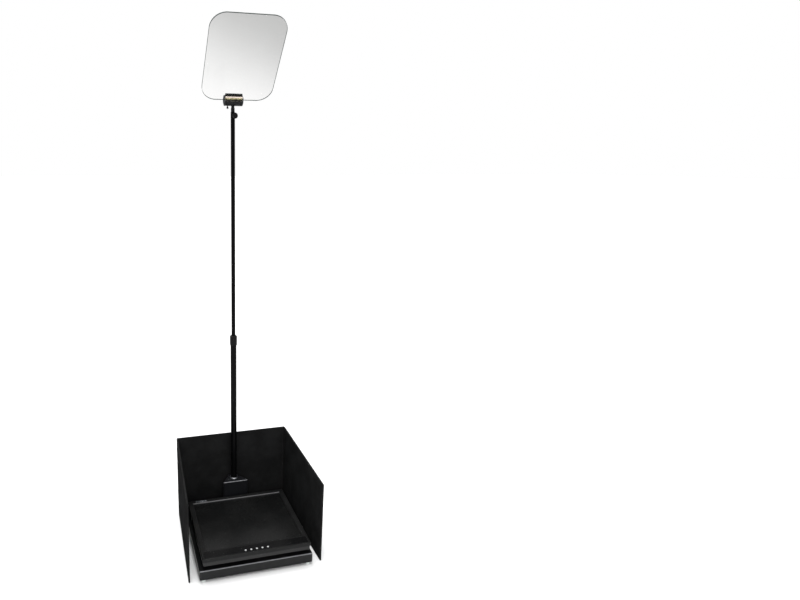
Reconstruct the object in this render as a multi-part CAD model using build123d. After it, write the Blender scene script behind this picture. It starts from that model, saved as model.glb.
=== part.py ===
from build123d import *

import os
from math import atan2, cos, degrees, radians, sin

# Conference teleprompter stand: a monitor lying face up on a steel base, a three-panel hood round it,
# and a telescopic pole behind it that carries a leaning half-mirror glass.
# Frame: +X to the right as the speaker sees it, +Y to the back, +Z up. The origin is on the floor,
# at the middle of the space the stand takes up. All lengths are millimetres, all angles degrees.

# ---- Driving dimensions: overall -------------------------------------------------------------------
total_depth = 458.0          # monitor front to the back of the hood hinges
pole_y = 182.0               # pole axis, on the centre plane X = 0
fit_gap = 0.05               # radial clearance of a running or sliding fit
loose_gap = 0.1              # radial clearance of a screw in its hole
head_ratio = 1.8             # screw head radius over shaft radius

# ---- Driving dimensions: base ----------------------------------------------------------------------
tray_w = 436.0
tray_front_y = -223.5
tray_back_y = 218.0
tray_bottom_z = 12.0
deck_z = 50.3                # top of the tray
tray_t = 2.0                 # sheet thickness
tray_edge_r = 4.0            # outside radius of the folded upper edges
plate_t = 6.0                # ballast plate
foot_r = 9.5
foot_x = 202.0
foot_front_y = -210.5
foot_back_y = 198.0
boss_r = 5.0

# ---- Driving dimensions: monitor (19-inch 5:4) -----------------------------------------------------
screen_w, screen_d = 376.5, 301.2
bezel_side, bezel_front, bezel_back = 19.75, 49.8, 21.0
monitor_top_z = 102.0
bezel_h = 14.0               # outside height of the bezel's rim
bezel_face_t = 4.0           # depth of the screen recess
cover_inset = 2.5            # the rear cover steps in under the rim
cover_bottom_z = 71.5
shell_t = 2.5
hump_w, hump_d = 300.0, 250.0
hump_bottom_z = 54.0
hump_floor_t = 3.0           # extra thickness of the hump's floor
spacer_w = 130.0
vesa_pitch = 100.0
chassis_w, chassis_d, chassis_t = 398.0, 345.0, 2.0
vent_w, vent_d, vent_pitch, vent_count = 18.0, 4.0, 22.0, 7
board_w, board_d, board_t, board_z = 120.0, 100.0, 1.6, 62.0
board_dy = 48.0              # of the circuit boards' middle, from the monitor's middle
video_board_x, power_board_x = 62.0, -72.0
strip_board_half, strip_board_z = 56.0, 89.0
socket_z0, socket_z1, socket_depth = 61.0, 71.5, 16.0
power_span, video_span = (-75.0, -45.0), (35.0, 70.0)   # of the rear sockets, along X
button_pitch = 21.5
button_count = 5
button_r = 3.6
button_y = -212.0
button_proud = 0.8           # how far a cap stands above the bezel, and its travel

# ---- Driving dimensions: hood ----------------------------------------------------------------------
hood_t = 6.0
hood_back_y = 224.0          # outer face of the back panel
hood_back_half = 240.0       # outer half width at the back
hood_front_half = 258.0      # outer half width at the front
hood_front_y = -213.0
hood_bottom_z = 3.0
hood_back_h = 360.0          # height of the upper edge at the back
hood_front_h = 330.0         # height of the upper edge at the front
hinge_r = 2.4
hinge_gap = 0.2              # between the barrel and the back board
hinge_pin_r = 1.25
hinge_leaf_t = 1.2
hinge_leaf_w = 30.0
hinge_h = 50.0
hinge_levels = (85.0, 285.0)
port_w, port_h, port_x, port_z = 60.0, 22.0, 42.0, 65.0   # cable port in the back board

# ---- Driving dimensions: pole ----------------------------------------------------------------------
housing_front_half, housing_back_half = 58.0, 22.0
housing_front_dy, housing_neck_dy, housing_back_dy = -36.6, 14.0, 24.0   # from the pole axis
housing_top_z = 167.3
lower_r, lower_bore_r = 12.5, 10.5
upper_r, upper_bore_r = 8.0, 6.5
socket_r = 17.0
ring_r, ring_h = 18.0, 3.5
lower_top_z = 790.0
collar_r, collar_bottom_z, collar_top_z = 14.6, 771.0, 811.0
collet_bottom_z, collet_top_z = 770.0, 806.0
upper_bottom_z, upper_top_z = 700.0, 1680.0
knob_z, knob_r, knob_h = 1666.0, 10.5, 8.5
knob_angle = 21.0            # from straight ahead, to the right
stud_r = 2.5

# ---- Driving dimensions: head and glass ------------------------------------------------------------
lean = 44.5                  # of the glass, forward from upright
axis_z = 1713.5              # tilt axis
post_r, spigot_bottom_z, shoulder_z = 7.0, 1620.0, 1693.5
tongue_half, tongue_r = 5.0, 7.0
pin_r = 3.0
body_half, body_r = 34.0, 20.5
seat_h = 10.0                # seat of the glass and middle of the body, above the tilt axis
flat_h = 8.0                 # flat of the body, above the seat
jaw_half, jaw_t, jaw_tab_half = 32.0, 3.0, 4.0
jaw_h, rear_jaw_h, rear_jaw_t = 19.5, 24.5, 4.5   # heights above the seat
pad_t, seat_t = 1.0, 1.5
cap_t, cap_r = 1.8, 16.0
glass_w, glass_l, glass_t, glass_corner_r = 264.0, 335.0, 5.0, 56.0
glass_x = 9.0                # the pane sits a little to the right in its clamp
lever_x, lever_half, lever_hub_r = -20.0, 2.5, 6.0
lever_rod_r, lever_reach, lever_ball_r = 2.3, 20.3, 4.0

# ---- Worked out from the above ---------------------------------------------------------------------
monitor_w = screen_w + 2 * bezel_side
monitor_d = screen_d + bezel_front + bezel_back
monitor_front_y = -total_depth / 2
monitor_y = monitor_front_y + monitor_d / 2
screen_y = monitor_front_y + bezel_front + screen_d / 2
bezel_bottom_z = monitor_top_z - bezel_h
glass_top_z = monitor_top_z - bezel_face_t       # upper face of the screen glass
module_top_z = glass_top_z - 3.0
chassis_top_z = module_top_z - 12.0
tray_d = tray_back_y - tray_front_y
tray_y = (tray_back_y + tray_front_y) / 2
plate_top_z = tray_bottom_z + plate_t
housing_t = 2.0
flange_t = 8.0


# ---- Small helpers ---------------------------------------------------------------------------------
def block(x0, x1, y0, y1, z0, z1):
    """Box between two corners."""
    return Pos((x0 + x1) / 2, (y0 + y1) / 2, (z0 + z1) / 2) * Box(x1 - x0, y1 - y0, z1 - z0)


def rod(r, z0, z1, x=0.0, y=0.0):
    """Upright cylinder."""
    return Pos(x, y, (z0 + z1) / 2) * Cylinder(r, z1 - z0)


def tube(r_out, r_in, z0, z1, y=pole_y):
    """Upright tube on the centre plane."""
    return rod(r_out, z0, z1, 0, y) - rod(r_in, z0 - 1, z1 + 1, 0, y)


def slab(width, depth, corner_r, z0, z1, x=0.0, y=0.0):
    """Plate with rounded upright corners."""
    outline = RectangleRounded(width, depth, corner_r)
    return Pos(x, y, z0) * extrude(outline, z1 - z0)


def prism(points, z0, z1, y=0.0):
    """Upright prism on a closed outline."""
    face = make_face(Polyline(*points, close=True))
    return Pos(0, y, z0) * extrude(face, z1 - z0)


def cross_rod(r, x0, x1, y=0.0, z=0.0):
    """Cylinder along X."""
    return Pos((x0 + x1) / 2, y, z) * Rot(0, 90, 0) * Cylinder(r, x1 - x0)


def deep_rod(r, y0, y1, x=0.0, z=0.0):
    """Cylinder along Y."""
    return Pos(x, (y0 + y1) / 2, z) * Rot(90, 0, 0) * Cylinder(r, y1 - y0)


def screw_up(r, x, y, z_head, head_h, length):
    """Pan-head screw pointing up, with its head below z_head."""
    head = rod(r * head_ratio, z_head - head_h, z_head, x, y)
    head = chamfer(head.edges().group_by(Axis.Z)[0], head_h * 0.3)
    return head + rod(r, z_head, z_head + length, x, y)


def screw_down(r, x, y, z_head, head_h, length):
    """Pan-head screw pointing down, with its head above z_head."""
    head = rod(r * head_ratio, z_head, z_head + head_h, x, y)
    head = chamfer(head.edges().group_by(Axis.Z)[-1], head_h * 0.3)
    return head + rod(r, z_head - length, z_head, x, y)


def corners(dx, dy):
    """The four corners of a rectangle about the origin."""
    return [(sx * dx, sy * dy) for sx in (-1, 1) for sy in (-1, 1)]


# ---- Base ------------------------------------------------------------------------------------------
vesa_points = [(x, monitor_y + y) for x, y in corners(vesa_pitch / 2, vesa_pitch / 2)]
boss_points = [(x, y) for x in (-190.0, 190.0) for y in (-190.0, -20.0, 150.0)]
foot_points = [(x, y) for x in (-foot_x, foot_x) for y in (foot_front_y, foot_back_y)]
socket_points = [(side * x, pole_y + y) for side in (-1, 1) for x, y in ((38.0, -26.0), (14.0, 17.0))]
hood_screw_points = [(x, (tray_bottom_z + deck_z) / 2) for x in (-150.0, 150.0)]
vesa_screw_r, boss_screw_r, foot_screw_r, socket_screw_r, hood_screw_r = 2.0, 2.0, 2.0, 2.5, 2.5


def base_tray():
    """Inverted steel pan with rounded upper edges and screw bosses under its deck."""
    shell = block(-tray_w / 2, tray_w / 2, tray_front_y, tray_back_y, tray_bottom_z, deck_z)
    shell = fillet(shell.edges().filter_by(Axis.Z) + shell.edges().group_by(Axis.Z)[-1], tray_edge_r)
    half = tray_w / 2 - tray_t
    front, back = tray_front_y + tray_t, tray_back_y - tray_t
    inner = block(-half, half, front, back, tray_bottom_z - 1, deck_z - tray_t)
    rims = inner.edges().filter_by(Axis.Z) + inner.edges().group_by(Axis.Z)[-1]
    shell -= fillet(rims, tray_edge_r - tray_t)
    for x, y in boss_points:
        shell += rod(boss_r, plate_top_z, deck_z - tray_t / 2, x, y)
        shell -= rod(boss_screw_r + loose_gap, plate_top_z - 1, plate_top_z + 14, x, y)
    for x, y in vesa_points:
        shell -= rod(vesa_screw_r + loose_gap, deck_z - 5, deck_z + 1, x, y)
    for x, y in socket_points:
        shell -= rod(socket_screw_r + loose_gap, deck_z - 5, deck_z + 1, x, y)
    for x, z in hood_screw_points:
        shell -= deep_rod(hood_screw_r + loose_gap, tray_back_y - 5, tray_back_y + 1, x, z)
    return shell


def base_plate():
    """Thick bottom plate that weighs the stand down."""
    play = 0.5
    plate = slab(tray_w - 2 * (tray_t + play), tray_d - 2 * (tray_t + play), tray_edge_r,
                 tray_bottom_z, plate_top_z, 0, tray_y)
    for x, y in boss_points:
        plate -= rod(boss_screw_r + loose_gap, tray_bottom_z - 1, plate_top_z + 1, x, y)
        plate -= rod(boss_screw_r * head_ratio + loose_gap, tray_bottom_z - 1, tray_bottom_z + 2.5, x, y)
    for x, y in foot_points:
        plate -= rod(foot_screw_r + loose_gap, tray_bottom_z - 1, plate_top_z + 1, x, y)
    return plate


def base_plate_screws():
    return [screw_up(boss_screw_r, x, y, tray_bottom_z + 2.5, 2.3, 14) for x, y in boss_points]


def rubber_feet():
    """Four moulded feet, each with a counterbore for its screw."""
    feet = []
    for x, y in foot_points:
        foot = rod(foot_r, 0, tray_bottom_z, x, y)
        foot = chamfer(foot.edges().group_by(Axis.Z)[0], 1.2)
        foot -= rod(foot_screw_r * head_ratio + 0.4, -1, 6.0, x, y)
        feet.append(foot - rod(foot_screw_r + loose_gap, 0, tray_bottom_z + 1, x, y))
    return feet


def foot_screws():
    return [screw_up(foot_screw_r, x, y, 6.0, 2.4, 11.5) for x, y in foot_points]


# ---- Monitor ---------------------------------------------------------------------------------------
button_points = [((i - (button_count - 1) / 2) * button_pitch, button_y) for i in range(button_count)]
badge_x, badge_w, badge_d, badge_t = -153.0, 47.0, 8.0, 0.6
hump_back_y = monitor_y + hump_d / 2


def vesa_plate():
    """Spacer plate between the deck and the monitor's mounting holes."""
    plate = slab(spacer_w, spacer_w, 6, deck_z, hump_bottom_z, 0, monitor_y)
    for x, y in vesa_points:
        plate -= rod(vesa_screw_r + loose_gap, deck_z - 1, hump_bottom_z + 1, x, y)
    return plate


def vesa_screws():
    return [screw_up(vesa_screw_r, x, y, deck_z - tray_t, 3.0, 13.0) for x, y in vesa_points]


def monitor_rear_cover():
    """Moulded back shell: a shallow pan under the bezel with a deeper hump for the electronics."""
    pan_w, pan_d = monitor_w - 2 * cover_inset, monitor_d - 2 * cover_inset
    lip_top = bezel_bottom_z + 4.0
    outer = slab(pan_w, pan_d, 6, cover_bottom_z, lip_top, 0, monitor_y)
    outer = fillet(outer.edges().group_by(Axis.Z)[0], 2.0)
    hump = slab(hump_w, hump_d, 12, hump_bottom_z, cover_bottom_z + 1, 0, monitor_y)
    hump = chamfer(hump.edges().group_by(Axis.Z)[0], 4.0)
    cover = outer + hump
    floor_z = cover_bottom_z + shell_t
    cover -= slab(pan_w - 2 * shell_t, pan_d - 2 * shell_t, 4, floor_z, lip_top + 1, 0, monitor_y)
    hump_floor_z = hump_bottom_z + 2 * hump_floor_t
    cover -= slab(hump_w - 2 * shell_t, hump_d - 2 * shell_t, 10, hump_floor_z, floor_z + 1, 0, monitor_y)
    for x, y in vesa_points:
        cover -= rod(vesa_screw_r + loose_gap, hump_bottom_z - 1, hump_floor_z + 5, x, y)
    for side in (-1, 1):
        for i in range(vent_count):
            x = side * (hump_w / 2 + 14)
            y = monitor_y + (i - (vent_count - 1) / 2) * vent_pitch
            cover -= slab(vent_w, vent_d, vent_d / 2 - 0.1, cover_bottom_z - 1, floor_z + 1, x, y)
    for x0, x1 in (power_span, video_span):
        cover -= block(x0, x1, hump_back_y - 8, hump_back_y + 1, socket_z0, socket_z1)
    return cover


def round_screen(point):
    """Whether a point lies on the edge of the screen opening or inside it."""
    return abs(point.X) < screen_w / 2 + 1 and abs(point.Y - screen_y) < screen_d / 2 + 1


def monitor_bezel():
    """Front frame with the screen opening, the button holes and a rolled outer rim."""
    frame = slab(monitor_w, monitor_d, 7, bezel_bottom_z, monitor_top_z, 0, monitor_y)
    frame = fillet(frame.edges().group_by(Axis.Z)[-1], 2.0)
    frame -= slab(monitor_w - 2 * cover_inset + 0.2, monitor_d - 2 * cover_inset + 0.2, 5.5,
                  bezel_bottom_z - 1, glass_top_z, 0, monitor_y)
    window = block(-screen_w / 2, screen_w / 2, screen_y - screen_d / 2, screen_y + screen_d / 2,
                   glass_top_z - 1, monitor_top_z + 1)
    frame -= window
    top = frame.edges().group_by(Axis.Z)[-1]
    frame = chamfer([edge for edge in top if round_screen(edge.center())], 1.5)
    for x, y in button_points:
        frame -= rod(button_r + 0.3, glass_top_z - 1, monitor_top_z + 1, x, y)
    return frame


def screen_glass():
    return slab(screen_w + 8, screen_d + 8, 2, module_top_z, glass_top_z, 0, screen_y)


def lcd_module():
    """Panel and backlight in their metal frame."""
    body = slab(screen_w + 16, screen_d + 20, 2, chassis_top_z, module_top_z, 0, screen_y)
    return chamfer(body.edges().group_by(Axis.Z)[-1], 0.8)


def monitor_chassis():
    """Steel carrier plate with cable holes."""
    plate = slab(chassis_w, chassis_d, 3, chassis_top_z - chassis_t, chassis_top_z, 0, monitor_y)
    for x in (-120, 120):
        plate -= slab(40, 20, 4, chassis_top_z - 3, chassis_top_z + 1, x, monitor_y - 60)
    return plate


def circuit_board(x, chips):
    """Board with its larger components standing on it: each is (dx, dy, width, depth, height)."""
    y = monitor_y + board_dy
    board = Pos(x, y, board_z + board_t / 2) * Box(board_w, board_d, board_t)
    for dx, dy, width, depth, height in chips:
        place = Pos(x + dx, y + dy, board_z + board_t + (height - 0.5) / 2)
        board += place * Box(width, depth, height + 0.5)
    return board


def main_board():
    processor, memory = (0, 0, 26, 26, 4), (-35, 18, 14, 20, 2.5)
    converter, choke = (32, -22, 18, 12, 6), (30, 26, 12, 12, 8)
    return circuit_board(video_board_x, [processor, memory, converter, choke])


def power_board():
    """Power board with its transformer, heat sink, filter and three upright capacitors."""
    transformer, heat_sink = (28, -12, 34, 28, 14), (-34, -26, 10, 30, 12)
    mains_filter = (-10, 30, 22, 12, 9)
    board = circuit_board(power_board_x, [transformer, heat_sink, mains_filter])
    for dx, dy in ((-30, 18), (-12, -32), (6, -34)):
        board += rod(6.5, board_z + 1, board_z + 14, power_board_x + dx, monitor_y + board_dy + dy)
    return board


def button_board():
    """Strip board with one switch under each button."""
    top = strip_board_z + board_t
    board = block(-strip_board_half, strip_board_half, button_y - 7, button_y + 7, strip_board_z, top)
    for x, y in button_points:
        board += block(x - 3, x + 3, y - 3, y + 3, top - 0.6, top + 2.4)
        board += rod(1.7, top + 2, top + 3.8, x, y)
    return board


def rear_socket(span, pins):
    """Socket shell in the hump's back wall, open to the back."""
    x0, x1 = span
    back, z0, z1 = hump_back_y, socket_z0, socket_z1
    shell = block(x0 + 0.5, x1 - 0.5, back - socket_depth, back - 0.5, z0 + 0.5, z1 - 0.5)
    shell -= block(x0 + 2.5, x1 - 2.5, back - socket_depth + 4, back + 1, z0 + 2, z1 - 2)
    for i in range(pins):
        x = (x0 + x1) / 2 + (i - (pins - 1) / 2) * 7
        shell += block(x - 1, x + 1, back - socket_depth + 3, back - 4, z0 + 4, z1 - 4)
    return shell


def plain_badge():
    """Blank plate on the far strip of the bezel."""
    y = monitor_front_y + bezel_front + screen_d + bezel_back / 2
    badge = slab(badge_w, badge_d, 1.5, monitor_top_z, monitor_top_z + badge_t, badge_x, y)
    return chamfer(badge.edges().group_by(Axis.Z)[-1], 0.25)


def menu_button(x, y):
    """Cap with a retaining flange under the bezel and a foot over its switch."""
    cap = rod(button_r, 96, monitor_top_z + button_proud, x, y)
    cap = fillet(cap.edges().group_by(Axis.Z)[-1], 0.6)
    cap += rod(button_r + 1.2, 96.2, 97.6, x, y)
    return cap + rod(2.0, 95.4, 96.5, x, y)


# ---- Hood ------------------------------------------------------------------------------------------
hinge_x = hood_back_half - hinge_r
hinge_y = hood_back_y + hinge_r + hinge_gap
side_start = hinge_y - hood_back_y + hood_t + 0.6   # of a side board, from the hinge axis
flare = degrees(atan2(hood_front_half - hood_back_half, hood_back_y - hood_front_y))
panel_len = (hinge_y - hood_front_y) / cos(radians(flare))
knuckle_h = hinge_h / 3
knuckle_play = 0.3


def hood_back_panel():
    """Back board with a cable port and two holes for the screws that hold it to the tray."""
    inner_y = hood_back_y - hood_t
    half = hood_back_half - hinge_leaf_t - knuckle_play
    panel = block(-half, half, inner_y, hood_back_y, hood_bottom_z, hood_back_h)
    panel = fillet(panel.edges().filter_by(Axis.X), 0.8)
    panel -= block(port_x - port_w / 2, port_x + port_w / 2, inner_y - 1, hood_back_y + 1,
                   port_z - port_h / 2, port_z + port_h / 2)
    for x, z in hood_screw_points:
        panel -= deep_rod(hood_screw_r + loose_gap, inner_y - 1, hood_back_y + 1, x, z)
    return panel


def hood_screws():
    """Pan-head screws from behind, through the back board into the tray."""
    screws = []
    for x, z in hood_screw_points:
        head = deep_rod(5.0, hood_back_y, hood_back_y + 3.5, x, z)
        head = fillet(head.edges().group_by(Axis.Y)[-1], 1.2)
        screws.append(head + deep_rod(hood_screw_r, hood_back_y - 14, hood_back_y, x, z))
    return screws


def at_hinge(shape, side):
    """Places a shape drawn beside the left hinge axis, and mirrors it for the right side."""
    placed = Pos(-hinge_x, hinge_y, 0) * Rot(0, 0, -flare) * shape
    return placed if side < 0 else mirror(placed, Plane.YZ)


def hood_side_panel(side):
    """Side board with a sloping upper edge and pockets for the hinge leaves."""
    outline = Polyline((-side_start, hood_bottom_z), (-panel_len, hood_bottom_z), (-panel_len, hood_front_h),
                       (-side_start, hood_back_h), close=True)
    face = Plane((-hinge_r, 0, 0), x_dir=(0, 1, 0), z_dir=(1, 0, 0)) * make_face(outline)
    panel = extrude(face, hood_t)
    front = panel.edges().group_by(Axis.Y)[0].filter_by(Axis.Z)
    panel = fillet(front, 0.8)
    for level in hinge_levels:
        low, high = level - hinge_h / 2 - knuckle_play, level + hinge_h / 2 + knuckle_play
        panel -= block(-hinge_r - 1, -hinge_r + hinge_leaf_t, -hinge_leaf_w - knuckle_play, 0, low, high)
    return at_hinge(panel, side)


def knuckle_spans(moving):
    """Heights of a leaf's knuckles: the middle third is the moving leaf's, the others the fixed leaf's."""
    spans = []
    for level in hinge_levels:
        low = level - hinge_h / 2
        for third in ((1,) if moving else (0, 2)):
            start = low + third * knuckle_h
            spans.append((start + knuckle_play / 2, start + knuckle_h - knuckle_play / 2))
    return spans


def hinge_leaf(side, moving):
    """Two leaves at one corner: moving ones let into the side board, fixed ones on the back board."""
    leaves = []
    for level in hinge_levels:
        z0, z1 = level - hinge_h / 2, level + hinge_h / 2
        if moving:
            leaf = block(-hinge_r, -hinge_r + hinge_leaf_t, -hinge_leaf_w, 0, z0, z1)
        else:
            near = hood_back_y - hinge_y
            leaf = block(0, hinge_leaf_w, near, near + hinge_leaf_t, z0, z1)
        clear = hinge_r + 2 * knuckle_play
        for a, b in knuckle_spans(not moving):
            if z0 <= a < z1:
                leaf -= block(-clear, clear, -clear, clear, a - knuckle_play, b + knuckle_play)
        for a, b in knuckle_spans(moving):
            if z0 <= a < z1:
                leaf += rod(hinge_r, a, b)
        leaf -= rod(hinge_pin_r + fit_gap, z0 - 1, z1 + 1)
        leaves.append(leaf)
    if moving:
        return [at_hinge(leaf, side) for leaf in leaves]
    placed = [Pos(-hinge_x, hinge_y, 0) * leaf for leaf in leaves]
    return placed if side < 0 else [mirror(leaf, Plane.YZ) for leaf in placed]


def hinge_pins(side):
    """Headed pins, pressed into the fixed leaves."""
    pins = []
    for level in hinge_levels:
        pin = rod(hinge_pin_r, level - hinge_h / 2, level + hinge_h / 2 + 0.8)
        pin += rod(hinge_r - 0.3, level + hinge_h / 2, level + hinge_h / 2 + 0.8)
        pins.append(Pos(side * hinge_x, hinge_y, 0) * pin)
    return pins


# ---- Pole ------------------------------------------------------------------------------------------
housing_screw_points = [(x, pole_y - 23.0) for x in (-19.0, 19.0)]
grub_z = 118.0


def housing_outline(inset):
    """Plan of the housing: wide at the front, necking in behind the pole."""
    front, back = housing_front_half - inset * 1.35, housing_back_half - inset
    neck = housing_neck_dy - inset * 0.3
    return [(-front, housing_front_dy + inset), (front, housing_front_dy + inset), (back, neck),
            (back, housing_back_dy - inset), (-back, housing_back_dy - inset), (-back, neck)]


def pole_housing():
    """Folded cover round the pole socket, with rolled upper edges."""
    shell = prism(housing_outline(0), deck_z, housing_top_z, pole_y)
    shell = fillet(shell.edges().filter_by(Axis.Z), 3.0)
    shell = fillet(shell.edges().group_by(Axis.Z)[-1], 2.6)
    shell -= prism(housing_outline(housing_t), deck_z - 1, housing_top_z - housing_t, pole_y)
    shell -= rod(socket_r + 0.3, housing_top_z - 10, housing_top_z + 1, 0, pole_y)
    for x, y in housing_screw_points:
        shell -= rod(1.5 + loose_gap, housing_top_z - 10, housing_top_z + 1, x, y)
    return shell


def housing_screws():
    return [screw_down(1.5, x, y, housing_top_z, 1.6, 7.0) for x, y in housing_screw_points]


def pole_socket():
    """Welded socket: base flange, tube, and an upper ledge that the housing screws to."""
    ledge_z = housing_top_z - housing_t
    part = prism(housing_outline(housing_t + 1.0), deck_z, deck_z + flange_t, pole_y)
    part += rod(socket_r, deck_z, housing_top_z - 0.2, 0, pole_y)
    part += block(-25, 25, pole_y - 29, pole_y, ledge_z - 6.0, ledge_z)
    part -= rod(lower_r + fit_gap, deck_z + flange_t - 3.0, housing_top_z + 1, 0, pole_y)
    for x, y in socket_points:
        part -= rod(socket_screw_r + loose_gap, deck_z - 1, deck_z + flange_t + 1, x, y)
    for x, y in housing_screw_points:
        part -= rod(1.5 + loose_gap, ledge_z - 7, ledge_z + 1, x, y)
    return part - deep_rod(3.0, pole_y - socket_r - 1, pole_y - lower_r + 1, 0, grub_z)


def pole_grub_screw():
    """Hexagon-socket grub screw that holds the lower tube in its socket."""
    screw = deep_rod(2.95, pole_y - socket_r + 0.3, pole_y - lower_r - 0.1, 0, grub_z)
    return screw - deep_rod(1.5, pole_y - socket_r, pole_y - socket_r + 2.5, 0, grub_z)


def socket_screws():
    return [screw_down(socket_screw_r, x, y, deck_z + flange_t, 3.2, 16.0) for x, y in socket_points]


def foot_ring():
    """Turned trim ring at the foot of the pole."""
    ring = rod(ring_r, housing_top_z, housing_top_z + ring_h, 0, pole_y)
    ring = fillet(ring.edges().group_by(Axis.Z)[-1], 1.2)
    return ring - rod(lower_r + fit_gap, housing_top_z - 1, housing_top_z + ring_h + 1, 0, pole_y)


def lower_tube():
    return tube(lower_r, lower_bore_r, deck_z + flange_t - 3.0, lower_top_z)


def pole_collet():
    """Split plastic sleeve in the mouth of the lower tube that grips the upper tube."""
    sleeve = tube(lower_bore_r - fit_gap, upper_r + fit_gap, collet_bottom_z, collet_top_z)
    for i in range(3):
        slit = block(0, 20, -0.6, 0.6, collet_bottom_z + 8, collet_top_z + 1)
        sleeve -= Pos(0, pole_y, 0) * Rot(0, 0, 120 * i + 30) * slit
    return sleeve


def twist_collar():
    """Fluted grip ring that squeezes the collet when it is turned."""
    ring = rod(collar_r, collar_bottom_z, collar_top_z, 0, pole_y)
    ring = chamfer(ring.edges().group_by(Axis.Z)[-1], 2.2)
    ring = chamfer(ring.edges().group_by(Axis.Z)[0], 0.8)
    for i in range(16):
        flute = rod(1.3, collar_bottom_z + 5, collar_top_z - 7, collar_r + 0.75, 0)
        ring -= Pos(0, pole_y, 0) * Rot(0, 0, 22.5 * i) * flute
    ring -= rod(lower_r + fit_gap, collar_bottom_z - 1, lower_top_z + 0.5, 0, pole_y)
    ring -= rod(lower_bore_r + 0.4, lower_top_z, collet_top_z + 0.5, 0, pole_y)
    return ring - rod(upper_r + 0.4, lower_top_z, collar_top_z + 1, 0, pole_y)


# Directions at the thumb knob: it points to the front, turned a little to the right.
knob_dir = (sin(radians(knob_angle)), -cos(radians(knob_angle)))
knob_near = upper_r + 3.4    # distance from the pole axis to the knob's inner face


def knob_rod(r, near, far):
    """Cylinder along the thumb knob's axis, between two distances from the pole axis."""
    middle = (near + far) / 2
    place = Pos(knob_dir[0] * middle, pole_y + knob_dir[1] * middle, knob_z)
    return place * Rot(0, 0, knob_angle) * Rot(90, 0, 0) * Cylinder(r, far - near)


def upper_tube():
    wall = tube(upper_r, upper_bore_r, upper_bottom_z, upper_top_z)
    wall = chamfer(wall.edges().group_by(Axis.Z)[-1].sort_by(SortBy.RADIUS)[-1], 0.5)
    return wall - knob_rod(stud_r + 0.2, 4, 12)


def slider_bush():
    """Plastic bush on the lower end of the upper tube, running in the lower tube."""
    return tube(lower_bore_r - fit_gap, upper_r + 0.02, upper_bottom_z + 4, upper_bottom_z + 44)


def knob_boss():
    """Threaded boss on the upper tube for the knob's stud."""
    boss = knob_rod(5.0, upper_r - 2, upper_r + 3.0)
    boss -= rod(upper_r + 0.01, knob_z - 10, knob_z + 10, 0, pole_y)
    return boss - knob_rod(stud_r + fit_gap, 0, 20)


def swivel_stud():
    return knob_rod(stud_r, upper_bore_r + 0.15, knob_near + knob_h - 2.0)


def swivel_knob():
    """Scalloped thumb knob moulded on its stud."""
    knob = knob_rod(knob_r, knob_near, knob_near + knob_h)
    rims = knob.edges().filter_by(GeomType.CIRCLE)
    knob = fillet(rims, 1.2)
    for i in range(10):
        angle = radians(36 * i)
        side, up = cos(angle) * (knob_r + 1.0), sin(angle) * (knob_r + 1.0)
        scoop = knob_rod(1.8, knob_near - 2, knob_near + knob_h + 2)
        knob -= Pos(-knob_dir[1] * side, knob_dir[0] * side, up) * scoop
    return knob - knob_rod(stud_r + 0.01, knob_near - 1, knob_near + knob_h - 2.0)


# ---- Head: drawn with the glass upright and the tilt axis along X at the origin, then leaned over ---
jaw_screw_points = [(x, seat_h - 4.0) for x in (-27.0, 25.0)]


def leaned(shape):
    """Moves a piece of the tilting clamp from its drawing position to the stand."""
    return Pos(0, pole_y, axis_z) * Rot(lean, 0, 0) * shape


def head_post():
    """Spigot in the upper tube, with a tongue that carries the tilt pin."""
    spigot_r = upper_bore_r - fit_gap
    post = rod(spigot_r, spigot_bottom_z, upper_top_z, 0, pole_y)
    post = chamfer(post.edges().group_by(Axis.Z)[0], 1.0)
    post += rod(post_r, upper_top_z + 0.3, shoulder_z, 0, pole_y)
    post += rod(spigot_r, upper_top_z - 1, upper_top_z + 1, 0, pole_y)
    post += block(-tongue_half, tongue_half, pole_y - 5, pole_y + 5, shoulder_z - 1, axis_z)
    post += cross_rod(tongue_r, -tongue_half, tongue_half, pole_y, axis_z)
    return post - cross_rod(pin_r + fit_gap, -10, 10, pole_y, axis_z)


def clamp_body():
    """Round bar with a flat, a slot for the glass, a rear jaw, and slots for the tongue and the lever."""
    half_slot = glass_t / 2 + pad_t
    body = cross_rod(body_r, -body_half, body_half, 0, seat_h)
    body -= block(-50, 50, -30, 30, seat_h + flat_h, seat_h + 40)
    body += block(-jaw_half, jaw_half, half_slot, half_slot + rear_jaw_t, seat_h, seat_h + rear_jaw_h)
    body -= block(-50, 50, -half_slot, half_slot, seat_h, seat_h + 40)
    for x, half in ((0.0, tongue_half + 0.2), (lever_x, lever_half + 0.2)):
        body -= block(x - half, x + half, -body_r - 1, 8.5, -20, tongue_r + 0.5)
    pocket_half, pocket_top = jaw_half + 0.1, seat_h + flat_h + 1
    body -= block(-pocket_half, pocket_half, -half_slot - jaw_t - fit_gap, -half_slot, 0, pocket_top)
    for x, z in jaw_screw_points:
        body -= deep_rod(2.0 + loose_gap, -body_r - 1, 3.0, x, z)
        body -= deep_rod(3.4 + loose_gap, -body_r - 1, -15.0, x, z)
    body -= cross_rod(pin_r + 0.02, -body_half - 1, body_half + 1)
    return leaned(body)


def front_jaw():
    """Bright clamp plate in front of the glass."""
    front = -glass_t / 2 - pad_t
    plate = block(-jaw_half, jaw_half, front - jaw_t, front, tongue_r + 0.6, seat_h + jaw_h)
    plate = chamfer(plate.edges().group_by(Axis.Z)[-1].filter_by(Axis.X).sort_by(Axis.Y)[0], 0.8)
    for x, z in jaw_screw_points:
        plate += block(x - jaw_tab_half, x + jaw_tab_half, front - jaw_t, front, 0.2, tongue_r + 1)
        plate -= deep_rod(2.0 + loose_gap, -15, 0, x, z)
    return leaned(plate)


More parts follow.
